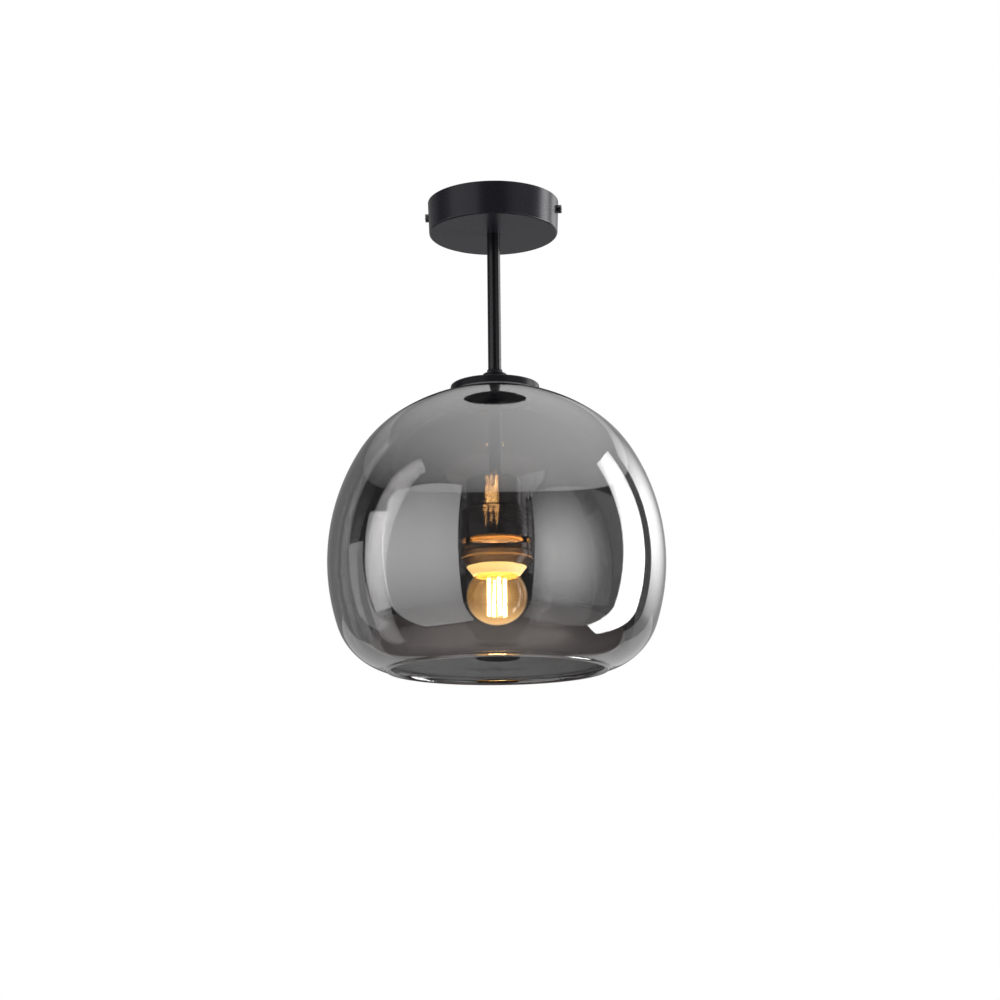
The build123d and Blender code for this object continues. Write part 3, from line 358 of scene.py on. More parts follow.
# %% Work out the threaded sleeve
LEDGE_R = 15.4
LEDGE_H = 3.0
LEDGE_TOP = SKIRT_TOP - 35.0
LEDGE_LOW = LEDGE_TOP - LEDGE_H
THREAD_ROWS = 176

thread_rows = np.linspace(THREAD_TOP - 10 * HAIR, THREAD_LOW, THREAD_ROWS)
skirt_outline = np.concatenate([
    [[SKIRT_BORE, SKIRT_TOP], [SKIRT_LAP_R, SKIRT_TOP], [SKIRT_LAP_R, THREAD_TOP]],
    np.stack([np.full_like(thread_rows, SKIRT_R), thread_rows], axis=-1),
    [[SKIRT_BORE, THREAD_LOW], [SKIRT_BORE, LEDGE_LOW], [LEDGE_R, LEDGE_LOW], [LEDGE_R, LEDGE_TOP],
     [SKIRT_BORE, LEDGE_TOP]],
])
sleeve = carried_round("holder_sleeve", skirt_outline * MM, 144, skirt_reach, 45.0)
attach(sleeve, "fixture")
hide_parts("holder_skirt")
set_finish(sleeve, "holder_black")
print("sleeve", len(sleeve.data.polygons), "faces")

# %% [markdown]
# ## The two rings
# Two moulded rings screw onto the sleeve. Moulded edges are never sharp, and in this light it is their
# rounded edges that catch the glow of the lamp, so both outlines get small rounds on every outer corner.
# A Bevel modifier would do the same on a plain outline, but the rounds belong to the outline here.

# %% Round the corners of an outline
LONGEST_CUT = 0.45
SAME_POINT = 1e-7


def rounded(corners, steps=5):
    """Closed outline whose corners (radius, height, round) are replaced by arcs that touch both sides.

    For a corner of angle w and round q the arc starts q / tan(w / 2) along each side, and a quadratic curve
    through the corner stands in for the circle, which is close for small rounds."""
    corners = np.asarray(corners, float)
    here = corners[:, :2]
    to_last = np.roll(here, 1, axis=0) - here
    to_next = np.roll(here, -1, axis=0) - here
    last_l = np.linalg.norm(to_last, axis=1, keepdims=True)
    next_l = np.linalg.norm(to_next, axis=1, keepdims=True)
    cosine = np.sum(to_last / last_l * to_next / next_l, axis=1)
    half = np.arccos(np.clip(cosine, -1, 1)) / 2
    back = corners[:, 2] / np.maximum(np.tan(half), 1e-6)
    back = np.minimum(back, LONGEST_CUT * np.minimum(last_l[:, 0], next_l[:, 0]))[:, None, None]
    s = np.linspace(0.0, 1.0, steps)[None, :, None]
    first = here[:, None] + back * (to_last / last_l)[:, None]
    final = here[:, None] + back * (to_next / next_l)[:, None]
    curve = (1 - s) ** 2 * first + 2 * s * (1 - s) * here[:, None] + s**2 * final
    flat = curve.reshape(-1, 2)
    return flat[np.linalg.norm(flat - np.roll(flat, 1, axis=0), axis=1) > SAME_POINT]


print("points on a rounded square", len(rounded([(0, 0, 0.1), (1, 0, 0.1), (1, 1, 0.1), (0, 1, 0.1)])))

# %% Draw the two rings
RING_BORE = 20.3
RING_R = 27.0
UPPER_TOP, UPPER_LOW = top_and_foot("shade_ring_upper")
RIB_COUNT = 4
RIB_PITCH = 3.4
RIB_ROOT = 26.2
RIB_H = 2.72
RIB_FLANK = 0.85
WALL_R = 24.8
WEB_LOW = UPPER_TOP - 6.0
LOWER_TOP, LOWER_LOW = top_and_foot("shade_ring_lower")
COLLAR_R = 26.4
GROOVE_R = 25.4
GROOVE_TOP = LOWER_TOP - 4.6
GROOVE_LOW = LOWER_TOP - 5.6
FLANGE_LOW = LOWER_TOP - 10.0
FLARE_TOP = LOWER_TOP - 9.0
MOUTH_R = 23.2
MOUTH_BORE = 22.2


def upper_ring_outline():
    """A tall ring with four grip ribs near its top, a web with the bore, and a thin wall below."""
    corners = [(RING_BORE, UPPER_TOP, 0.3)]
    for rib in range(RIB_COUNT):
        top = UPPER_TOP - rib * RIB_PITCH
        low = top - RIB_H
        corners += [(RIB_ROOT, top, 0.25), (RING_R, top - RIB_FLANK, 0.35),
                    (RING_R, low + RIB_FLANK, 0.35), (RIB_ROOT, low, 0.25)]
    corners += [(RING_R, UPPER_TOP - RIB_COUNT * RIB_PITCH, 0.4), (RING_R, UPPER_LOW, 0.6),
                (WALL_R, UPPER_LOW, 0.4), (WALL_R, WEB_LOW, 0.5), (RING_BORE, WEB_LOW, 0.3)]
    return rounded(corners) * MM


def lower_ring_outline():
    """A collar, a groove, a wider flange, and a taper to a flared mouth."""
    return rounded([
        (RING_BORE, LOWER_TOP, 0.3), (COLLAR_R, LOWER_TOP, 0.8), (COLLAR_R, GROOVE_TOP, 0.3),
        (GROOVE_R, GROOVE_TOP, 0.2), (GROOVE_R, GROOVE_LOW, 0.2), (RING_R, GROOVE_LOW, 0.4),
        (RING_R, FLANGE_LOW, 0.7), (MOUTH_R, LOWER_LOW, 0.4), (MOUTH_BORE, LOWER_LOW, 0.3),
        (RING_BORE, FLARE_TOP, 0.5),
    ]) * MM


ring_pieces = {
    "grip_ring": (upper_ring_outline(), "upper_ring", "shade_ring_upper"),
    "flared_ring": (lower_ring_outline(), "lower_ring", "shade_ring_lower"),
}
for name, (outline, body, node) in ring_pieces.items():
    ring = carried_round(name, outline, 160, sharp_angle=40.0)
    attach(ring, body)
    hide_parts(node)
    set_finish(ring, "ring_black")
    print(name, len(ring.data.polygons), "faces")

# %% [markdown]
# ## The light filaments
# Each filament is a thin strip of light chips in a coated stick. The coat is poured over the row of
# chips, so it swells a little over each one and is round at both ends. A stick is a profile carried along
# a straight path: the radius along the stick ripples, and closes to a point at the ends.

# %% Shape one filament
FILAMENT_COUNT = 4
FILAMENT_FIRST = math.radians(23.0)
FILAMENT_TWIST = math.radians(10.0)
FILAMENT_TOP = (6.0, NECK_TOP - 16.6)
FILAMENT_LOW = (6.4, NECK_TOP - 46.1)
COAT_R = 1.425
COAT_SWELL = 0.05
CHIP_COUNT = 14
END_SHARE = 0.03
END_TIP = 0.02


def stick_radius(s):
    """The coat's radius at each share s of the stick: a ripple over the chips, times a quarter circle that
    shuts the last share at both ends."""
    swell = 1.0 + COAT_SWELL * np.cos(2 * np.pi * CHIP_COUNT * s)
    past = np.clip((np.abs(s - 0.5) - 0.5 + END_SHARE) / END_SHARE, 0.0, 1.0)
    return COAT_R * swell * np.maximum(np.sqrt(1.0 - past**2), END_TIP)


def filament_stick(number, rows=97, segments=20):
    """Points and faces of one stick: circles of a rippled radius along the line between its two ends."""
    turn = FILAMENT_FIRST + number * 2 * math.pi / FILAMENT_COUNT
    ends = [Vector((r * math.cos(a), r * math.sin(a), z))
            for (r, z), a in ((FILAMENT_TOP, turn), (FILAMENT_LOW, turn + FILAMENT_TWIST))]
    along = ends[1] - ends[0]
    side = along.orthogonal().normalized()
    other = along.normalized().cross(side)
    s = 0.5 - 0.5 * np.cos(np.linspace(0.0, np.pi, rows))
    t = np.linspace(0.0, 2 * np.pi, segments, endpoint=False)
    around = np.cos(t)[:, None] * np.array(side) + np.sin(t)[:, None] * np.array(other)
    middle = np.array(ends[0]) + s[:, None] * np.array(along)
    points = (middle[:, None] + stick_radius(s)[:, None, None] * around[None]).reshape(-1, 3) * MM
    index = np.arange(rows * segments).reshape(rows, segments)
    a, b = index[:-1], np.roll(index[:-1], -1, axis=1)
    c, d = np.roll(index[1:], -1, axis=1), index[1:]
    sides = np.stack([a, d, c, b], axis=-1).reshape(-1, 4)
    return points, sides, index[0], index[-1][::-1]


print("thickest coat in mm", round(2 * stick_radius(np.linspace(0.0, 1.0, 97)).max(), 2))

# %% Join the filaments
sticks = [filament_stick(number) for number in range(FILAMENT_COUNT)]
points, sides, first_ends, last_ends = zip(*sticks)
starts = np.arange(FILAMENT_COUNT) * len(points[0])
filaments = put_mesh("light_filaments", np.concatenate(points), [
    (np.stack(sides) + starts[:, None, None]).reshape(-1, 4),
    np.stack(first_ends) + starts[:, None],
    np.stack(last_ends) + starts[:, None]])
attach(filaments, "lamp")
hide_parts("bulb_filaments")
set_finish(filaments, "filament_lit")
print("filaments", len(filaments.data.polygons), "faces")

# %% [markdown]
# ## Finishes: a shared grain
# Paint, moulded plastic, plated steel and glass all vary a little over their surface. One node group
# gives that variation to every finish: a coarse noise moves the colour, a fine noise moves the gloss and
# stands as a small height for the bump. Each material places the group with its own values, and its
# shader stays in the material.

# %% The shared grain group
GRAIN_INPUTS = {
    "Vector": "NodeSocketVector", "Base": "NodeSocketColor", "Other": "NodeSocketColor",
    "Coarse Scale": "NodeSocketFloat", "Fine Scale": "NodeSocketFloat", "Mix Amount": "NodeSocketFloat",
    "Roughness Low": "NodeSocketFloat", "Roughness High": "NodeSocketFloat",
}
GRAIN_OUTPUTS = {"Colour": "NodeSocketColor", "Roughness": "NodeSocketFloat", "Height": "NodeSocketFloat"}
COARSE_RANGE = (0.35, 0.65)
FINE_RANGE = (0.3, 0.7)


def noise(made, detail, span):
    """A noise, and a range node that spreads the middle span of its values to a new range."""
    pattern, spread = made.new("ShaderNodeTexNoise"), made.new("ShaderNodeMapRange")
    pattern.inputs["Detail"].default_value = detail
    spread.inputs["From Min"].default_value, spread.inputs["From Max"].default_value = span
    return pattern, spread


def grain_group():
    """Colour = mix(base, other, coarse noise), roughness = low to high with fine noise, and height = fine
    noise."""
    group = bpy.data.node_groups.new("surface_grain", "ShaderNodeTree")
    for in_out, sockets in (("INPUT", GRAIN_INPUTS), ("OUTPUT", GRAIN_OUTPUTS)):
        for label, kind in sockets.items():
            group.interface.new_socket(label, in_out=in_out, socket_type=kind)
    made, link = group.nodes, group.links.new
    given, result = made.new("NodeGroupInput"), made.new("NodeGroupOutput")
    coarse, share = noise(made, 4.0, COARSE_RANGE)
    fine, gloss = noise(made, 2.0, FINE_RANGE)
    mix = made.new("ShaderNodeMix")
    mix.data_type = "RGBA"
    for pattern, scale, spread in ((coarse, "Coarse Scale", share), (fine, "Fine Scale", gloss)):
        link(given.outputs["Vector"], pattern.inputs["Vector"])
        link(given.outputs[scale], pattern.inputs["Scale"])
        link(pattern.outputs["Fac"], spread.inputs["Value"])
    link(given.outputs["Mix Amount"], share.inputs["To Max"])
    link(share.outputs["Result"], mix.inputs["Factor"])
    link(given.outputs["Base"], mix.inputs["A"])
    link(given.outputs["Other"], mix.inputs["B"])
    link(given.outputs["Roughness Low"], gloss.inputs["To Min"])
    link(given.outputs["Roughness High"], gloss.inputs["To Max"])
    link(mix.outputs["Result"], result.inputs["Colour"])
    link(gloss.outputs["Result"], result.inputs["Roughness"])
    link(fine.outputs["Fac"], result.inputs["Height"])
    return group


surface_grain = grain_group()
print("grain group", len(surface_grain.nodes), "nodes")

# %% [markdown]
# ## A finish for a slot
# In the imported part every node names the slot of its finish, and so do the pieces made here. One function
# can therefore make a material and put it on all pieces of its slot, where a hand in the Material tab
# would have to go from piece to piece.

# %% Make and wear a finish
RELIEF = 0.0002


def wear(piece, material):
    """Gives a piece one material in place of what it came with."""
    piece.data.materials.clear()
    piece.data.materials.append(material)


def finish(slot, base, other, roughness, scales, bump=0.0, stretch=(1, 1, 1), amount=0.5, **shader):
    """A material for one slot, worn by every CAD node and every new piece of that slot.

    base and other are the two colours that the coarse noise moves between, roughness the two limits of the
    fine noise, scales those of the two noises, stretch the scale of the pattern along each axis, amount the
    most of the other colour, and the rest are constants on the shader's own sockets."""
    material = bpy.data.materials.new(slot)
    material.use_nodes = True
    made, link = material.node_tree.nodes, material.node_tree.links.new
    bsdf = made["Principled BSDF"]
    where, mapping = made.new("ShaderNodeTexCoord"), made.new("ShaderNodeMapping")
    mapping.inputs["Scale"].default_value = stretch
    grain = made.new("ShaderNodeGroup")
    grain.node_tree = surface_grain
    values = {
        "Base": (*base, 1.0), "Other": (*other, 1.0), "Mix Amount": amount,
        "Coarse Scale": scales[0], "Fine Scale": scales[1],
        "Roughness Low": roughness[0], "Roughness High": roughness[1],
    }
    for socket, value in values.items():
        grain.inputs[socket].default_value = value
    link(where.outputs["Object"], mapping.inputs["Vector"])
    link(mapping.outputs["Vector"], grain.inputs["Vector"])
    link(grain.outputs["Colour"], bsdf.inputs["Base Color"])
    link(grain.outputs["Roughness"], bsdf.inputs["Roughness"])
    if bump:
        relief = made.new("ShaderNodeBump")
        relief.inputs["Strength"].default_value = bump
        relief.inputs["Distance"].default_value = RELIEF
        link(grain.outputs["Height"], relief.inputs["Height"])
        link(relief.outputs["Normal"], bsdf.inputs["Normal"])
    for socket, value in shader.items():
        bsdf.inputs[socket.replace("_", " ")].default_value = value
    worn = [piece for piece in bpy.data.objects if piece.type == "MESH"
            and slot in (slot_of.get(piece.get("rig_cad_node")), piece.get("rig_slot"))]
    for piece in worn:
        wear(piece, material)
    print(slot, "on", len(worn), "pieces")
    return material


print("slots to finish", len(set(slot_of.values())))

# %% [markdown]
# ## Black paint and black plastic
# The canopy, the rod and the cap are painted steel, satin black, the side screws are blackened, and the
# lampholder is moulded in black plastic. Black reads as black only if its gloss differs from piece to
# piece, so each has its own roughness and its own fine grain.

# %% Paint the black pieces
finish("canopy_black", (0.008, 0.008, 0.012), (0.013, 0.013, 0.018), (0.22, 0.30), (30.0, 1400.0), 0.02,
       Specular_IOR_Level=0.2)
finish("rod_black", (0.004, 0.004, 0.005), (0.008, 0.008, 0.010), (0.18, 0.25), (40.0, 1600.0), 0.02,
       Specular_IOR_Level=0.25)
finish("cap_black", (0.007, 0.007, 0.009), (0.011, 0.011, 0.013), (0.26, 0.34), (35.0, 1400.0), 0.02,
       Specular_IOR_Level=0.08)
finish("clamp_black", (0.006, 0.006, 0.007), (0.012, 0.012, 0.013), (0.40, 0.50), (50.0, 1200.0), 0.04)
finish("screw_black", (0.006, 0.006, 0.007), (0.010, 0.010, 0.012), (0.25, 0.35), (150.0, 1800.0), 0.04)
holder_look = finish(
    "holder_black", (0.013, 0.012, 0.012), (0.022, 0.020, 0.020), (0.15, 0.18), (70.0, 1500.0), 0.008)
ring_look = finish(
    "ring_black", (0.013, 0.011, 0.011), (0.022, 0.019, 0.018), (0.12, 0.18), (70.0, 1500.0), 0.03)

# %% [markdown]
# ## Painted glow on the rim and the thread
# The globe throws the lamp's light back as a thin bright line on the lower ring's rim and a broad amber band
# on the thread between the rings. Both are painted into the colour as a warm brown band over the black, a
# painted highlight that stands in for that glow. Such a band could be painted as a vertex colour, but it
# runs round at one height, so the height of the point picks the colour.

# %% Paint the lamp's glow on the ring's rim and the thread
RIM_GLOW_BAND = 0.6 * MM
THREAD_GLOW_BAND = 3.5 * MM


def colour_mix(made, first=None, second=None):
    """A node that mixes two colours. One that isn't given is linked later."""
    mix = made.new("ShaderNodeMix")
    mix.data_type = "RGBA"
    for socket, colour in (("A", first), ("B", second)):
        if colour is not None:
            mix.inputs[socket].default_value = (*colour, 1.0)
    return mix


def painted_glow_band(material, height, reach, colour):
    """Lays a painted glow colour over a material's own where the height is within reach of the given one."""
    made, link = material.node_tree.nodes, material.node_tree.links.new
    split, near = made.new("ShaderNodeSeparateXYZ"), made.new("ShaderNodeMath")
    near.operation = "COMPARE"
    near.inputs[1].default_value, near.inputs[2].default_value = height, reach
    mix = colour_mix(made, second=colour)
    link(made["Texture Coordinate"].outputs["Object"], split.inputs["Vector"])
    link(split.outputs["Z"], near.inputs[0])
    link(near.outputs["Value"], mix.inputs["Factor"])
    link(made["Group"].outputs["Colour"], mix.inputs["A"])
    link(mix.outputs["Result"], made["Principled BSDF"].inputs["Base Color"])
    print("band on", material.name, "at", round(height / MM, 1), "mm")


# Painted highlight: the lamp's glow on the lower ring's rim and on the thread between the rings, in warm
# brown.
painted_glow_band(ring_look, FLANGE_LOW * MM, RIM_GLOW_BAND, (0.16, 0.11, 0.06))
painted_glow_band(holder_look, (UPPER_LOW + LOWER_TOP) / 2 * MM, THREAD_GLOW_BAND, (0.14, 0.095, 0.05))

# %% [markdown]
# ## Bare and plated metal
# Zinc-plated steel is a cold grey with cloudy patches, brass is drawn and slightly dull, the nickel of
# the lamp's cap is warmer and smoother, and solder is soft and grey. All are metal, so their colour is
# the colour of their reflection.

# %% Plate the metal pieces
METAL = {"Metallic": 1.0}
finish("zinc_steel", (0.56, 0.57, 0.58), (0.42, 0.43, 0.45), (0.28, 0.46), (120.0, 1500.0), 0.06, **METAL)
finish("brass", (0.72, 0.53, 0.26), (0.60, 0.41, 0.18), (0.25, 0.40), (110.0, 1500.0), 0.05, **METAL)
finish("tinned_lug", (0.68, 0.68, 0.67), (0.55, 0.55, 0.56), (0.25, 0.40), (140.0, 1500.0), 0.05, **METAL)
finish("lamp_nickel", (0.66, 0.64, 0.60), (0.54, 0.52, 0.48), (0.20, 0.32), (130.0, 1600.0), 0.05, **METAL)
finish("solder", (0.60, 0.60, 0.60), (0.46, 0.46, 0.47), (0.32, 0.45), (200.0, 1600.0), 0.08, **METAL)

# %% [markdown]
# ## Plastic, ceramic, rubber and insulation
# The inner pieces are seen when the canopy is looked into from above or the lamp from below: nylon with a
# milky surface, a glazed ceramic core, grey rubber seals, and wires in plain coloured insulation. The
# earth wire has two colours, so its pattern is stretched along the wire and mixes them fully.

# %% Colour the inner pieces
finish("white_nylon", (0.78, 0.77, 0.73), (0.70, 0.69, 0.64), (0.38, 0.50), (90.0, 1200.0), 0.05)
finish("core_ceramic", (0.74, 0.72, 0.67), (0.66, 0.63, 0.57), (0.15, 0.24), (80.0, 1000.0), 0.03)
finish("lamp_bead", (0.05, 0.05, 0.055), (0.09, 0.09, 0.10), (0.08, 0.16), (150.0, 1000.0), 0.02)
finish("seal_rubber", (0.075, 0.075, 0.08), (0.11, 0.11, 0.115), (0.55, 0.70), (100.0, 1500.0), 0.12)
finish("driver_board", (0.07, 0.19, 0.09), (0.10, 0.26, 0.13), (0.30, 0.42), (300.0, 1500.0), 0.05)
finish("earth_insulation", (0.22, 0.42, 0.07), (0.62, 0.55, 0.05), (0.34, 0.44), (45.0, 1500.0), 0.04,
       stretch=(6, 6, 1), amount=1.0)
finish("live_insulation", (0.24, 0.10, 0.045), (0.30, 0.135, 0.06), (0.34, 0.44), (90.0, 1500.0), 0.04)
finish("neutral_insulation", (0.035, 0.14, 0.42), (0.05, 0.18, 0.50), (0.34, 0.44), (90.0, 1500.0), 0.04)

# %% [markdown]
# ## Smoked glass
# Smoked glass is grey all through, so what shows behind two walls is much darker than what shows behind
# one. Colour on the surface would tint alike whatever the wall's thickness, so the smoke is a volume that
# absorbs along the way. The polished faces mirror the room like a dark window, more than plain glass
# does, so the index is raised.

# %% Make the smoked glass
SMOKE_DENSITY = 280.0
smoked = finish("smoked_glass", (0.99, 0.985, 0.985), (0.95, 0.945, 0.95), (0.0, 0.004), (9.0, 60.0),
                IOR=2.0, Transmission_Weight=1.0)
made = smoked.node_tree.nodes
smoke = made.new("ShaderNodeVolumeAbsorption")
smoke.inputs["Color"].default_value = (0.02, 0.01, 0.01, 1.0)
smoke.inputs["Density"].default_value = SMOKE_DENSITY
smoked.node_tree.links.new(smoke.outputs["Volume"], made["Material Output"].inputs["Volume"])
print("smoke density", SMOKE_DENSITY)

# %% [markdown]
# ## The lamp's glass
# The bulb is tinted amber, the stem inside is clear, and the collar over the neck is frosted and lit from
# within. A shadow ray takes clear glass for a solid, so the globe, the bulb and the stem cast no shadow
# and the lamp's light gets out.

# %% Make the lamp's glass
bulb_look = finish("bulb_clear", (0.98, 0.80, 0.50), (0.96, 0.76, 0.45), (0.0, 0.02), (25.0, 200.0),
                   IOR=1.45, Transmission_Weight=1.0, Emission_Strength=0.2)
finish("stem_clear", (0.97, 0.93, 0.84), (0.93, 0.88, 0.78), (0.02, 0.06), (60.0, 400.0),
       IOR=1.45, Transmission_Weight=1.0)
finish("collar_frosted", (0.93, 0.80, 0.50), (0.86, 0.70, 0.38), (0.35, 0.5), (120.0, 900.0), 0.04,
       Emission_Color=(1.0, 0.66, 0.20, 1.0), Emission_Strength=1.5)
for piece in (globe, bulb, nodes["bulb_stem"]):
    piece.visible_shadow = False

# %% [markdown]
# ## The glow of the bulb
# A lit bulb of tinted glass glows: bright where the eye looks straight through to the filaments, amber
# round that, brown at the edge, and bright again at the foot, where the light gathers. Light that
# scatters in the glass would be slow to render, so the glow is an emission whose colour follows the
# facing and the height.

# %% Let the bulb glow
FOOT_FADE = (-0.310, -0.327)
CORE_FADE = (0.15, 0.0)


def smooth_step(made, span):
    """A node that rises smoothly from 0 to 1 while its value runs from the span's first end to its last."""
    step = made.new("ShaderNodeMapRange")
    step.interpolation_type = "SMOOTHSTEP"
    step.inputs["From Min"].default_value, step.inputs["From Max"].default_value = span
    return step


made, link = bulb_look.node_tree.nodes, bulb_look.node_tree.links.new
edge, split = made.new("ShaderNodeLayerWeight"), made.new("ShaderNodeSeparateXYZ")
edge.inputs["Blend"].default_value = 0.5
rim = colour_mix(made, (1.0, 0.60, 0.25), (0.30, 0.14, 0.04))
core = colour_mix(made, second=(2.6, 1.7, 0.8))
foot = colour_mix(made, second=(2.8, 1.8, 0.75))
core_share, foot_share = smooth_step(made, CORE_FADE), smooth_step(made, FOOT_FADE)
link(edge.outputs["Facing"], rim.inputs["Factor"])
link(edge.outputs["Facing"], core_share.inputs["Value"])
link(core_share.outputs["Result"], core.inputs["Factor"])
link(rim.outputs["Result"], core.inputs["A"])
link(made["Texture Coordinate"].outputs["Object"], split.inputs["Vector"])
link(split.outputs["Z"], foot_share.inputs["Value"])
link(foot_share.outputs["Result"], foot.inputs["Factor"])
link(core.outputs["Result"], foot.inputs["A"])
link(foot.outputs["Result"], made["Principled BSDF"].inputs["Emission Color"])
print("bulb's material", len(made), "nodes")

# %% [markdown]
# ## The lit filaments
# The sticks are the light's own source. Their coat glows far beyond white, so the picture shows them as
# plain white with warm edges. Light objects inside the bulb could give the same light, but the sticks
# would then not be seen to glow, so the strength is a constant on their own shader.

# %% Light the filaments
finish("filament_lit", (0.95, 0.80, 0.45), (0.90, 0.70, 0.35), (0.4, 0.5), (200.0, 900.0), 0.03,
       Emission_Color=(1.0, 0.82, 0.55, 1.0), Emission_Strength=60.0)

# %% [markdown]
# ## The studio
# The glass mirrors the studio, so the studio is built from what the globe shows: two tall grey panels
# left and right of the camera, a bright strip on the far right, a narrow one on the far left with a low
# one beside it, three panels behind, and a pale ceiling, with a dark gap behind the camera. Area lights
# make all of these, and the camera doesn't see them. A plain sheet would look cut out of card, so most
# are brightest at one spot and fade from there.

# %% Make a sheet of light
CENTRE = Vector((0.0, 0.0, -0.28))
UP = Vector((0.0, 0.0, 1.0))


def towards(azimuth, elevation=0.0):
    """Unit direction at an angle to the right of the camera's side of the globe and above the horizon."""
    a, e = math.radians(azimuth) + CAMERA_AZIMUTH, math.radians(elevation)
    return Vector((math.sin(a) * math.cos(e), -math.cos(a) * math.cos(e), math.sin(e)))


def facing_matrix(centre, back):
    """Place and turn of a lamp at the centre that shines against the direction back."""
    return Matrix.Translation(centre) @ back.to_track_quat("Z", "Y").to_matrix().to_4x4()


def hot_spot(light, middle, reach, rest):
    """Makes a light brightest at the middle (u, v) of its sheet. It falls smoothly to the share rest on an
    ellipse whose half-widths, as shares of the sheet, are the reach."""
    light.use_nodes = True
    made, link = light.node_tree.nodes, light.node_tree.links.new
    where, fade = made.new("ShaderNodeNewGeometry"), smooth_step(made, (0.0, 1.0))
    apart, share, far = [made.new("ShaderNodeVectorMath") for _ in range(3)]
    apart.operation, share.operation, far.operation = "SUBTRACT", "DIVIDE", "LENGTH"
    apart.inputs[1].default_value = (*middle, 0.0)
    share.inputs[1].default_value = (*reach, 1.0)
    fade.inputs["To Min"].default_value, fade.inputs["To Max"].default_value = 1.0, rest
    link(where.outputs["Parametric"], apart.inputs[0])
    link(apart.outputs["Vector"], share.inputs[0])
    link(share.outputs["Vector"], far.inputs[0])
    link(far.outputs["Value"], fade.inputs["Value"])
    link(fade.outputs["Result"], made["Emission"].inputs["Strength"])


def sheet(name, centre, back, size, radiance, hot=None, shape="RECTANGLE"):
    """A sheet of light that shines against the direction back. Its power is 4 times radiance times area."""
    light = bpy.data.lights.new(name, "AREA")
    light.shape = shape
    light.size, light.size_y = size
    light.energy = 4.0 * radiance * size[0] * size[1]
    if hot is not None:
        hot_spot(light, *hot)
    lamp = add_object(name, light)
    lamp.matrix_world = facing_matrix(centre, back)
    lamp.visible_camera = False


def panel(name, facing, distance, azimuths, heights, radiance, hot=None):
    """An upright sheet across the direction facing, between two azimuths and two heights from the globe's
    middle. An azimuth lies at distance times the tangent of its angle from the facing."""
    first, last = [distance * math.tan(math.radians(azimuth - facing)) for azimuth in azimuths]
    back = towards(facing)
    centre = CENTRE + back * distance + UP.cross(back) * (first + last) / 2 + UP * (sum(heights) / 2)
    sheet(name, centre, back, (last - first, heights[1] - heights[0]), radiance, hot)


print("the camera's side is", [round(v, 3) for v in towards(0.0)])

# %% Place the sheets
CEILING_RISE = 1.6
CEILING_SIZE = (5.4, 5.4)
panel("panel_right", 50.0, 1.3, (24.0, 89.0), (-1.95, 0.82), 1.72, ((0.26, 0.70), (0.52, 0.33), 0.17))
panel("panel_left", -40.0, 1.3, (-79.0, -24.0), (-2.25, 0.90), 1.81, ((0.23, 0.75), (2.0, 0.32), 0.49))
panel("strip_right", 104.0, 1.6, (90.0, 114.0), (-1.72, 1.38), 11.0, ((0.5, 0.40), (0.85, 0.85), 0.15))
panel("strip_left", -86.0, 1.6, (-95.0, -78.0), (-0.55, 0.62), 1.8, ((0.8, 0.7), (1.0, 1.0), 0.4))
panel("panel_back_right", 146.0, 1.6, (123.5, 170.0), (-1.00, 1.25), 3.6,
      ((0.0, 0.667), (0.764, 0.422), 0.09))
panel("panel_back_left", -122.0, 1.6, (-170.0, -113.0), (-1.20, 1.50), 0.19)
panel("panel_left_low", -105.0, 1.6, (-113.0, -97.0), (-1.10, 0.30), 0.55)
panel("panel_low", 180.0, 2.0, (140.0, 220.0), (-1.40, -0.10), 0.30)
sheet("pale_ceiling", CENTRE + UP * CEILING_RISE, towards(0.0, 89.9), CEILING_SIZE, 1.17,
      ((0.65, 0.43), (0.83, 0.71), 0.0), "DISK")

# %% [markdown]
# ## The lamp's glow on the holder
# The globe is a hollow mirror that throws the lamp's light back onto the holder: as amber streaks down
# its front, and as a broad glow on the thread and the ring just above the lamp. A path from the filaments
# over the glass to the holder is found only by luck, so small amber spots inside the globe give the same
# light. A spot without size has no image of its own in the glass.

# %% Add the glow
GLOW_COLOUR = (1.0, 0.55, 0.18)
GLOW_R = 0.085
EDGE_GLOW_R = 0.040


def glow(name, azimuth, radius, height, aim, power, cone, shares=(1.0, 1.0), blend=0.5):
    """An amber spot in the globe, aimed at a height on the axis. Shares narrow its cone across and
    upright."""
    light = bpy.data.lights.new(name, "SPOT")
    light.energy, light.color = power, GLOW_COLOUR
    light.spot_size, light.spot_blend, light.shadow_soft_size = math.radians(cone), blend, 0.0
    place = towards(azimuth) * radius + UP * height
    spot = add_object(name, light)
    spot.matrix_world = facing_matrix(place, place - UP * aim) @ Matrix.Diagonal((*shares, 1.0, 1.0))


for azimuth in (-17.0, -8.0, 1.0):
    glow(f"glow_streak_{azimuth:.0f}", azimuth, GLOW_R, -0.234, -0.238, 80.0, 40.0, (0.085, 1.0), 0.9)
glow("glow_thread", 0.0, GLOW_R, -0.276, -0.2635, 42.0, 36.0, (1.0, 0.14), 0.15)
glow("glow_ring", 0.0, GLOW_R, -0.300, -0.272, 5.0, 80.0, (1.0, 0.16))
for azimuth in (-72.0, -36.0, 0.0, 36.0, 72.0):
    glow(f"glow_edge_{azimuth:.0f}", azimuth, EDGE_GLOW_R, -0.335, -0.260, 0.02, 60.0)

# %% [markdown]
# ## The background
# The photograph has a plain white ground, and the glass in front of it mirrors a dark room. So the world
# is white for the camera alone, and a dim grey for all other light, as a room with dark walls would be. A
# white sheet behind the light would be closer to a real studio, but it would show in the glass.

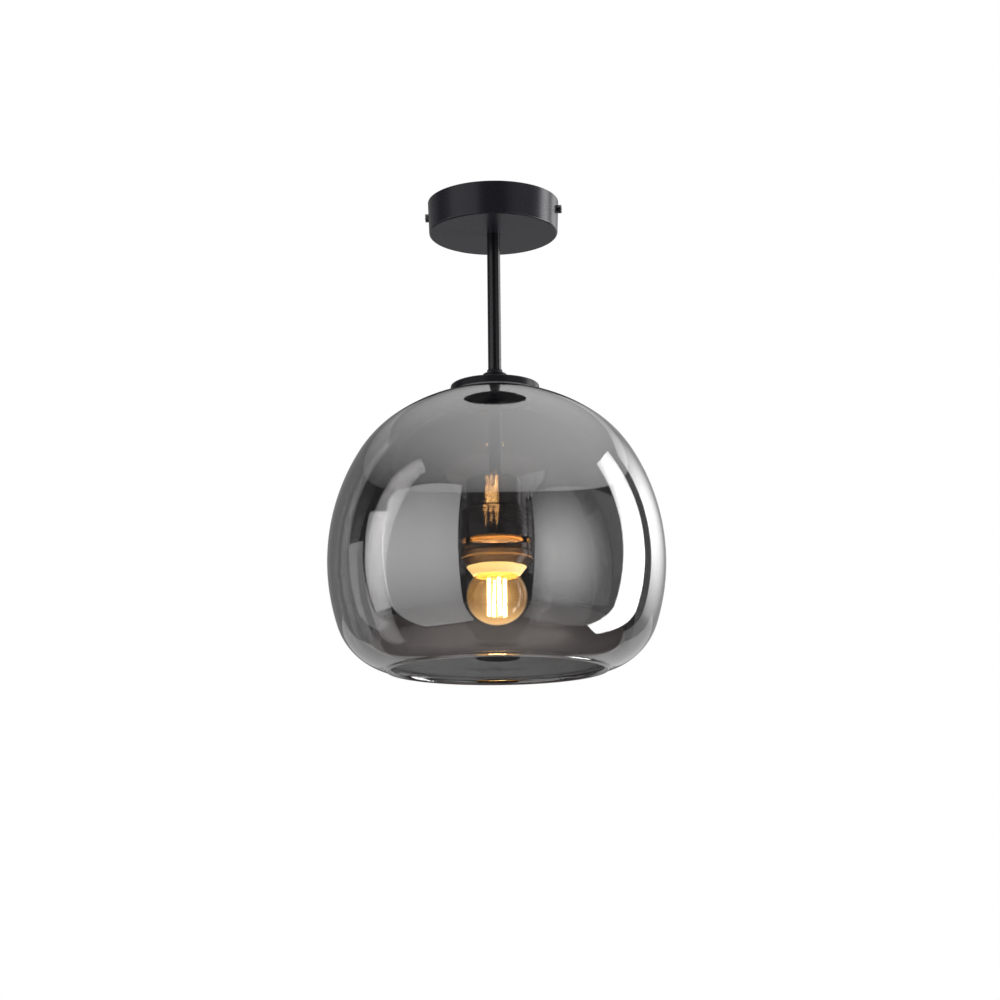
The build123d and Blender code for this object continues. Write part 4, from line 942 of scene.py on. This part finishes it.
# %% Make the world
world = bpy.data.worlds.new("studio_white")
bpy.context.scene.world = world
world.use_nodes = True
made, link = world.node_tree.nodes, world.node_tree.links.new
made.clear()
path, choose = made.new("ShaderNodeLightPath"), made.new("ShaderNodeMixShader")
dim, white = made.new("ShaderNodeBackground"), made.new("ShaderNodeBackground")
out = made.new("ShaderNodeOutputWorld")
dim.inputs["Color"].default_value = (0.05, 0.05, 0.051, 1.0)
white.inputs["Color"].default_value = (1.0, 1.0, 1.0, 1.0)
link(path.outputs["Is Camera Ray"], choose.inputs["Fac"])
link(dim.outputs["Background"], choose.inputs[1])
link(white.outputs["Background"], choose.inputs[2])
link(choose.outputs["Shader"], out.inputs["Surface"])
print("world", world.name)

# %% [markdown]
# ## The floor
# The floor lies under the light at the height of a room, out of the picture. It throws warm light up at the
# globe's foot, which mirrors it, so it is a warm grey. For the camera it is paler, so that it stands out
# less from the white ground where the light is looked at from above.

# %% Lay the floor
FLOOR_Z = -2.7
FLOOR_R = 4.5
FLOOR_LOW = -2.72

floor = carried_round(
    "pale_floor", [(0.0, FLOOR_Z), (FLOOR_R, FLOOR_Z), (FLOOR_R, FLOOR_LOW), (0.0, FLOOR_LOW)], 96)
floor_look = bpy.data.materials.new("pale_floor")
floor_look.use_nodes = True
made, link = floor_look.node_tree.nodes, floor_look.node_tree.links.new
path = made.new("ShaderNodeLightPath")
pale = colour_mix(made, (0.62, 0.53, 0.49), (0.95, 0.94, 0.93))
made["Principled BSDF"].inputs["Roughness"].default_value = 0.7
link(path.outputs["Is Camera Ray"], pale.inputs["Factor"])
link(pale.outputs["Result"], made["Principled BSDF"].inputs["Base Color"])
wear(floor, floor_look)
floor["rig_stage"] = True
print("floor at", FLOOR_Z)

# %% [markdown]
# ## Check the size and finish
# The visual model has to stay in the box of the solids, so the visual box less the CAD box is printed.

# %% Compare the boxes and finish
low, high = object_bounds()
past = [round((a - b) / MM, 3) for a, b in zip([*low, *high], [*cad_low, *cad_high])]
print("visual box minus CAD box in mm", past)
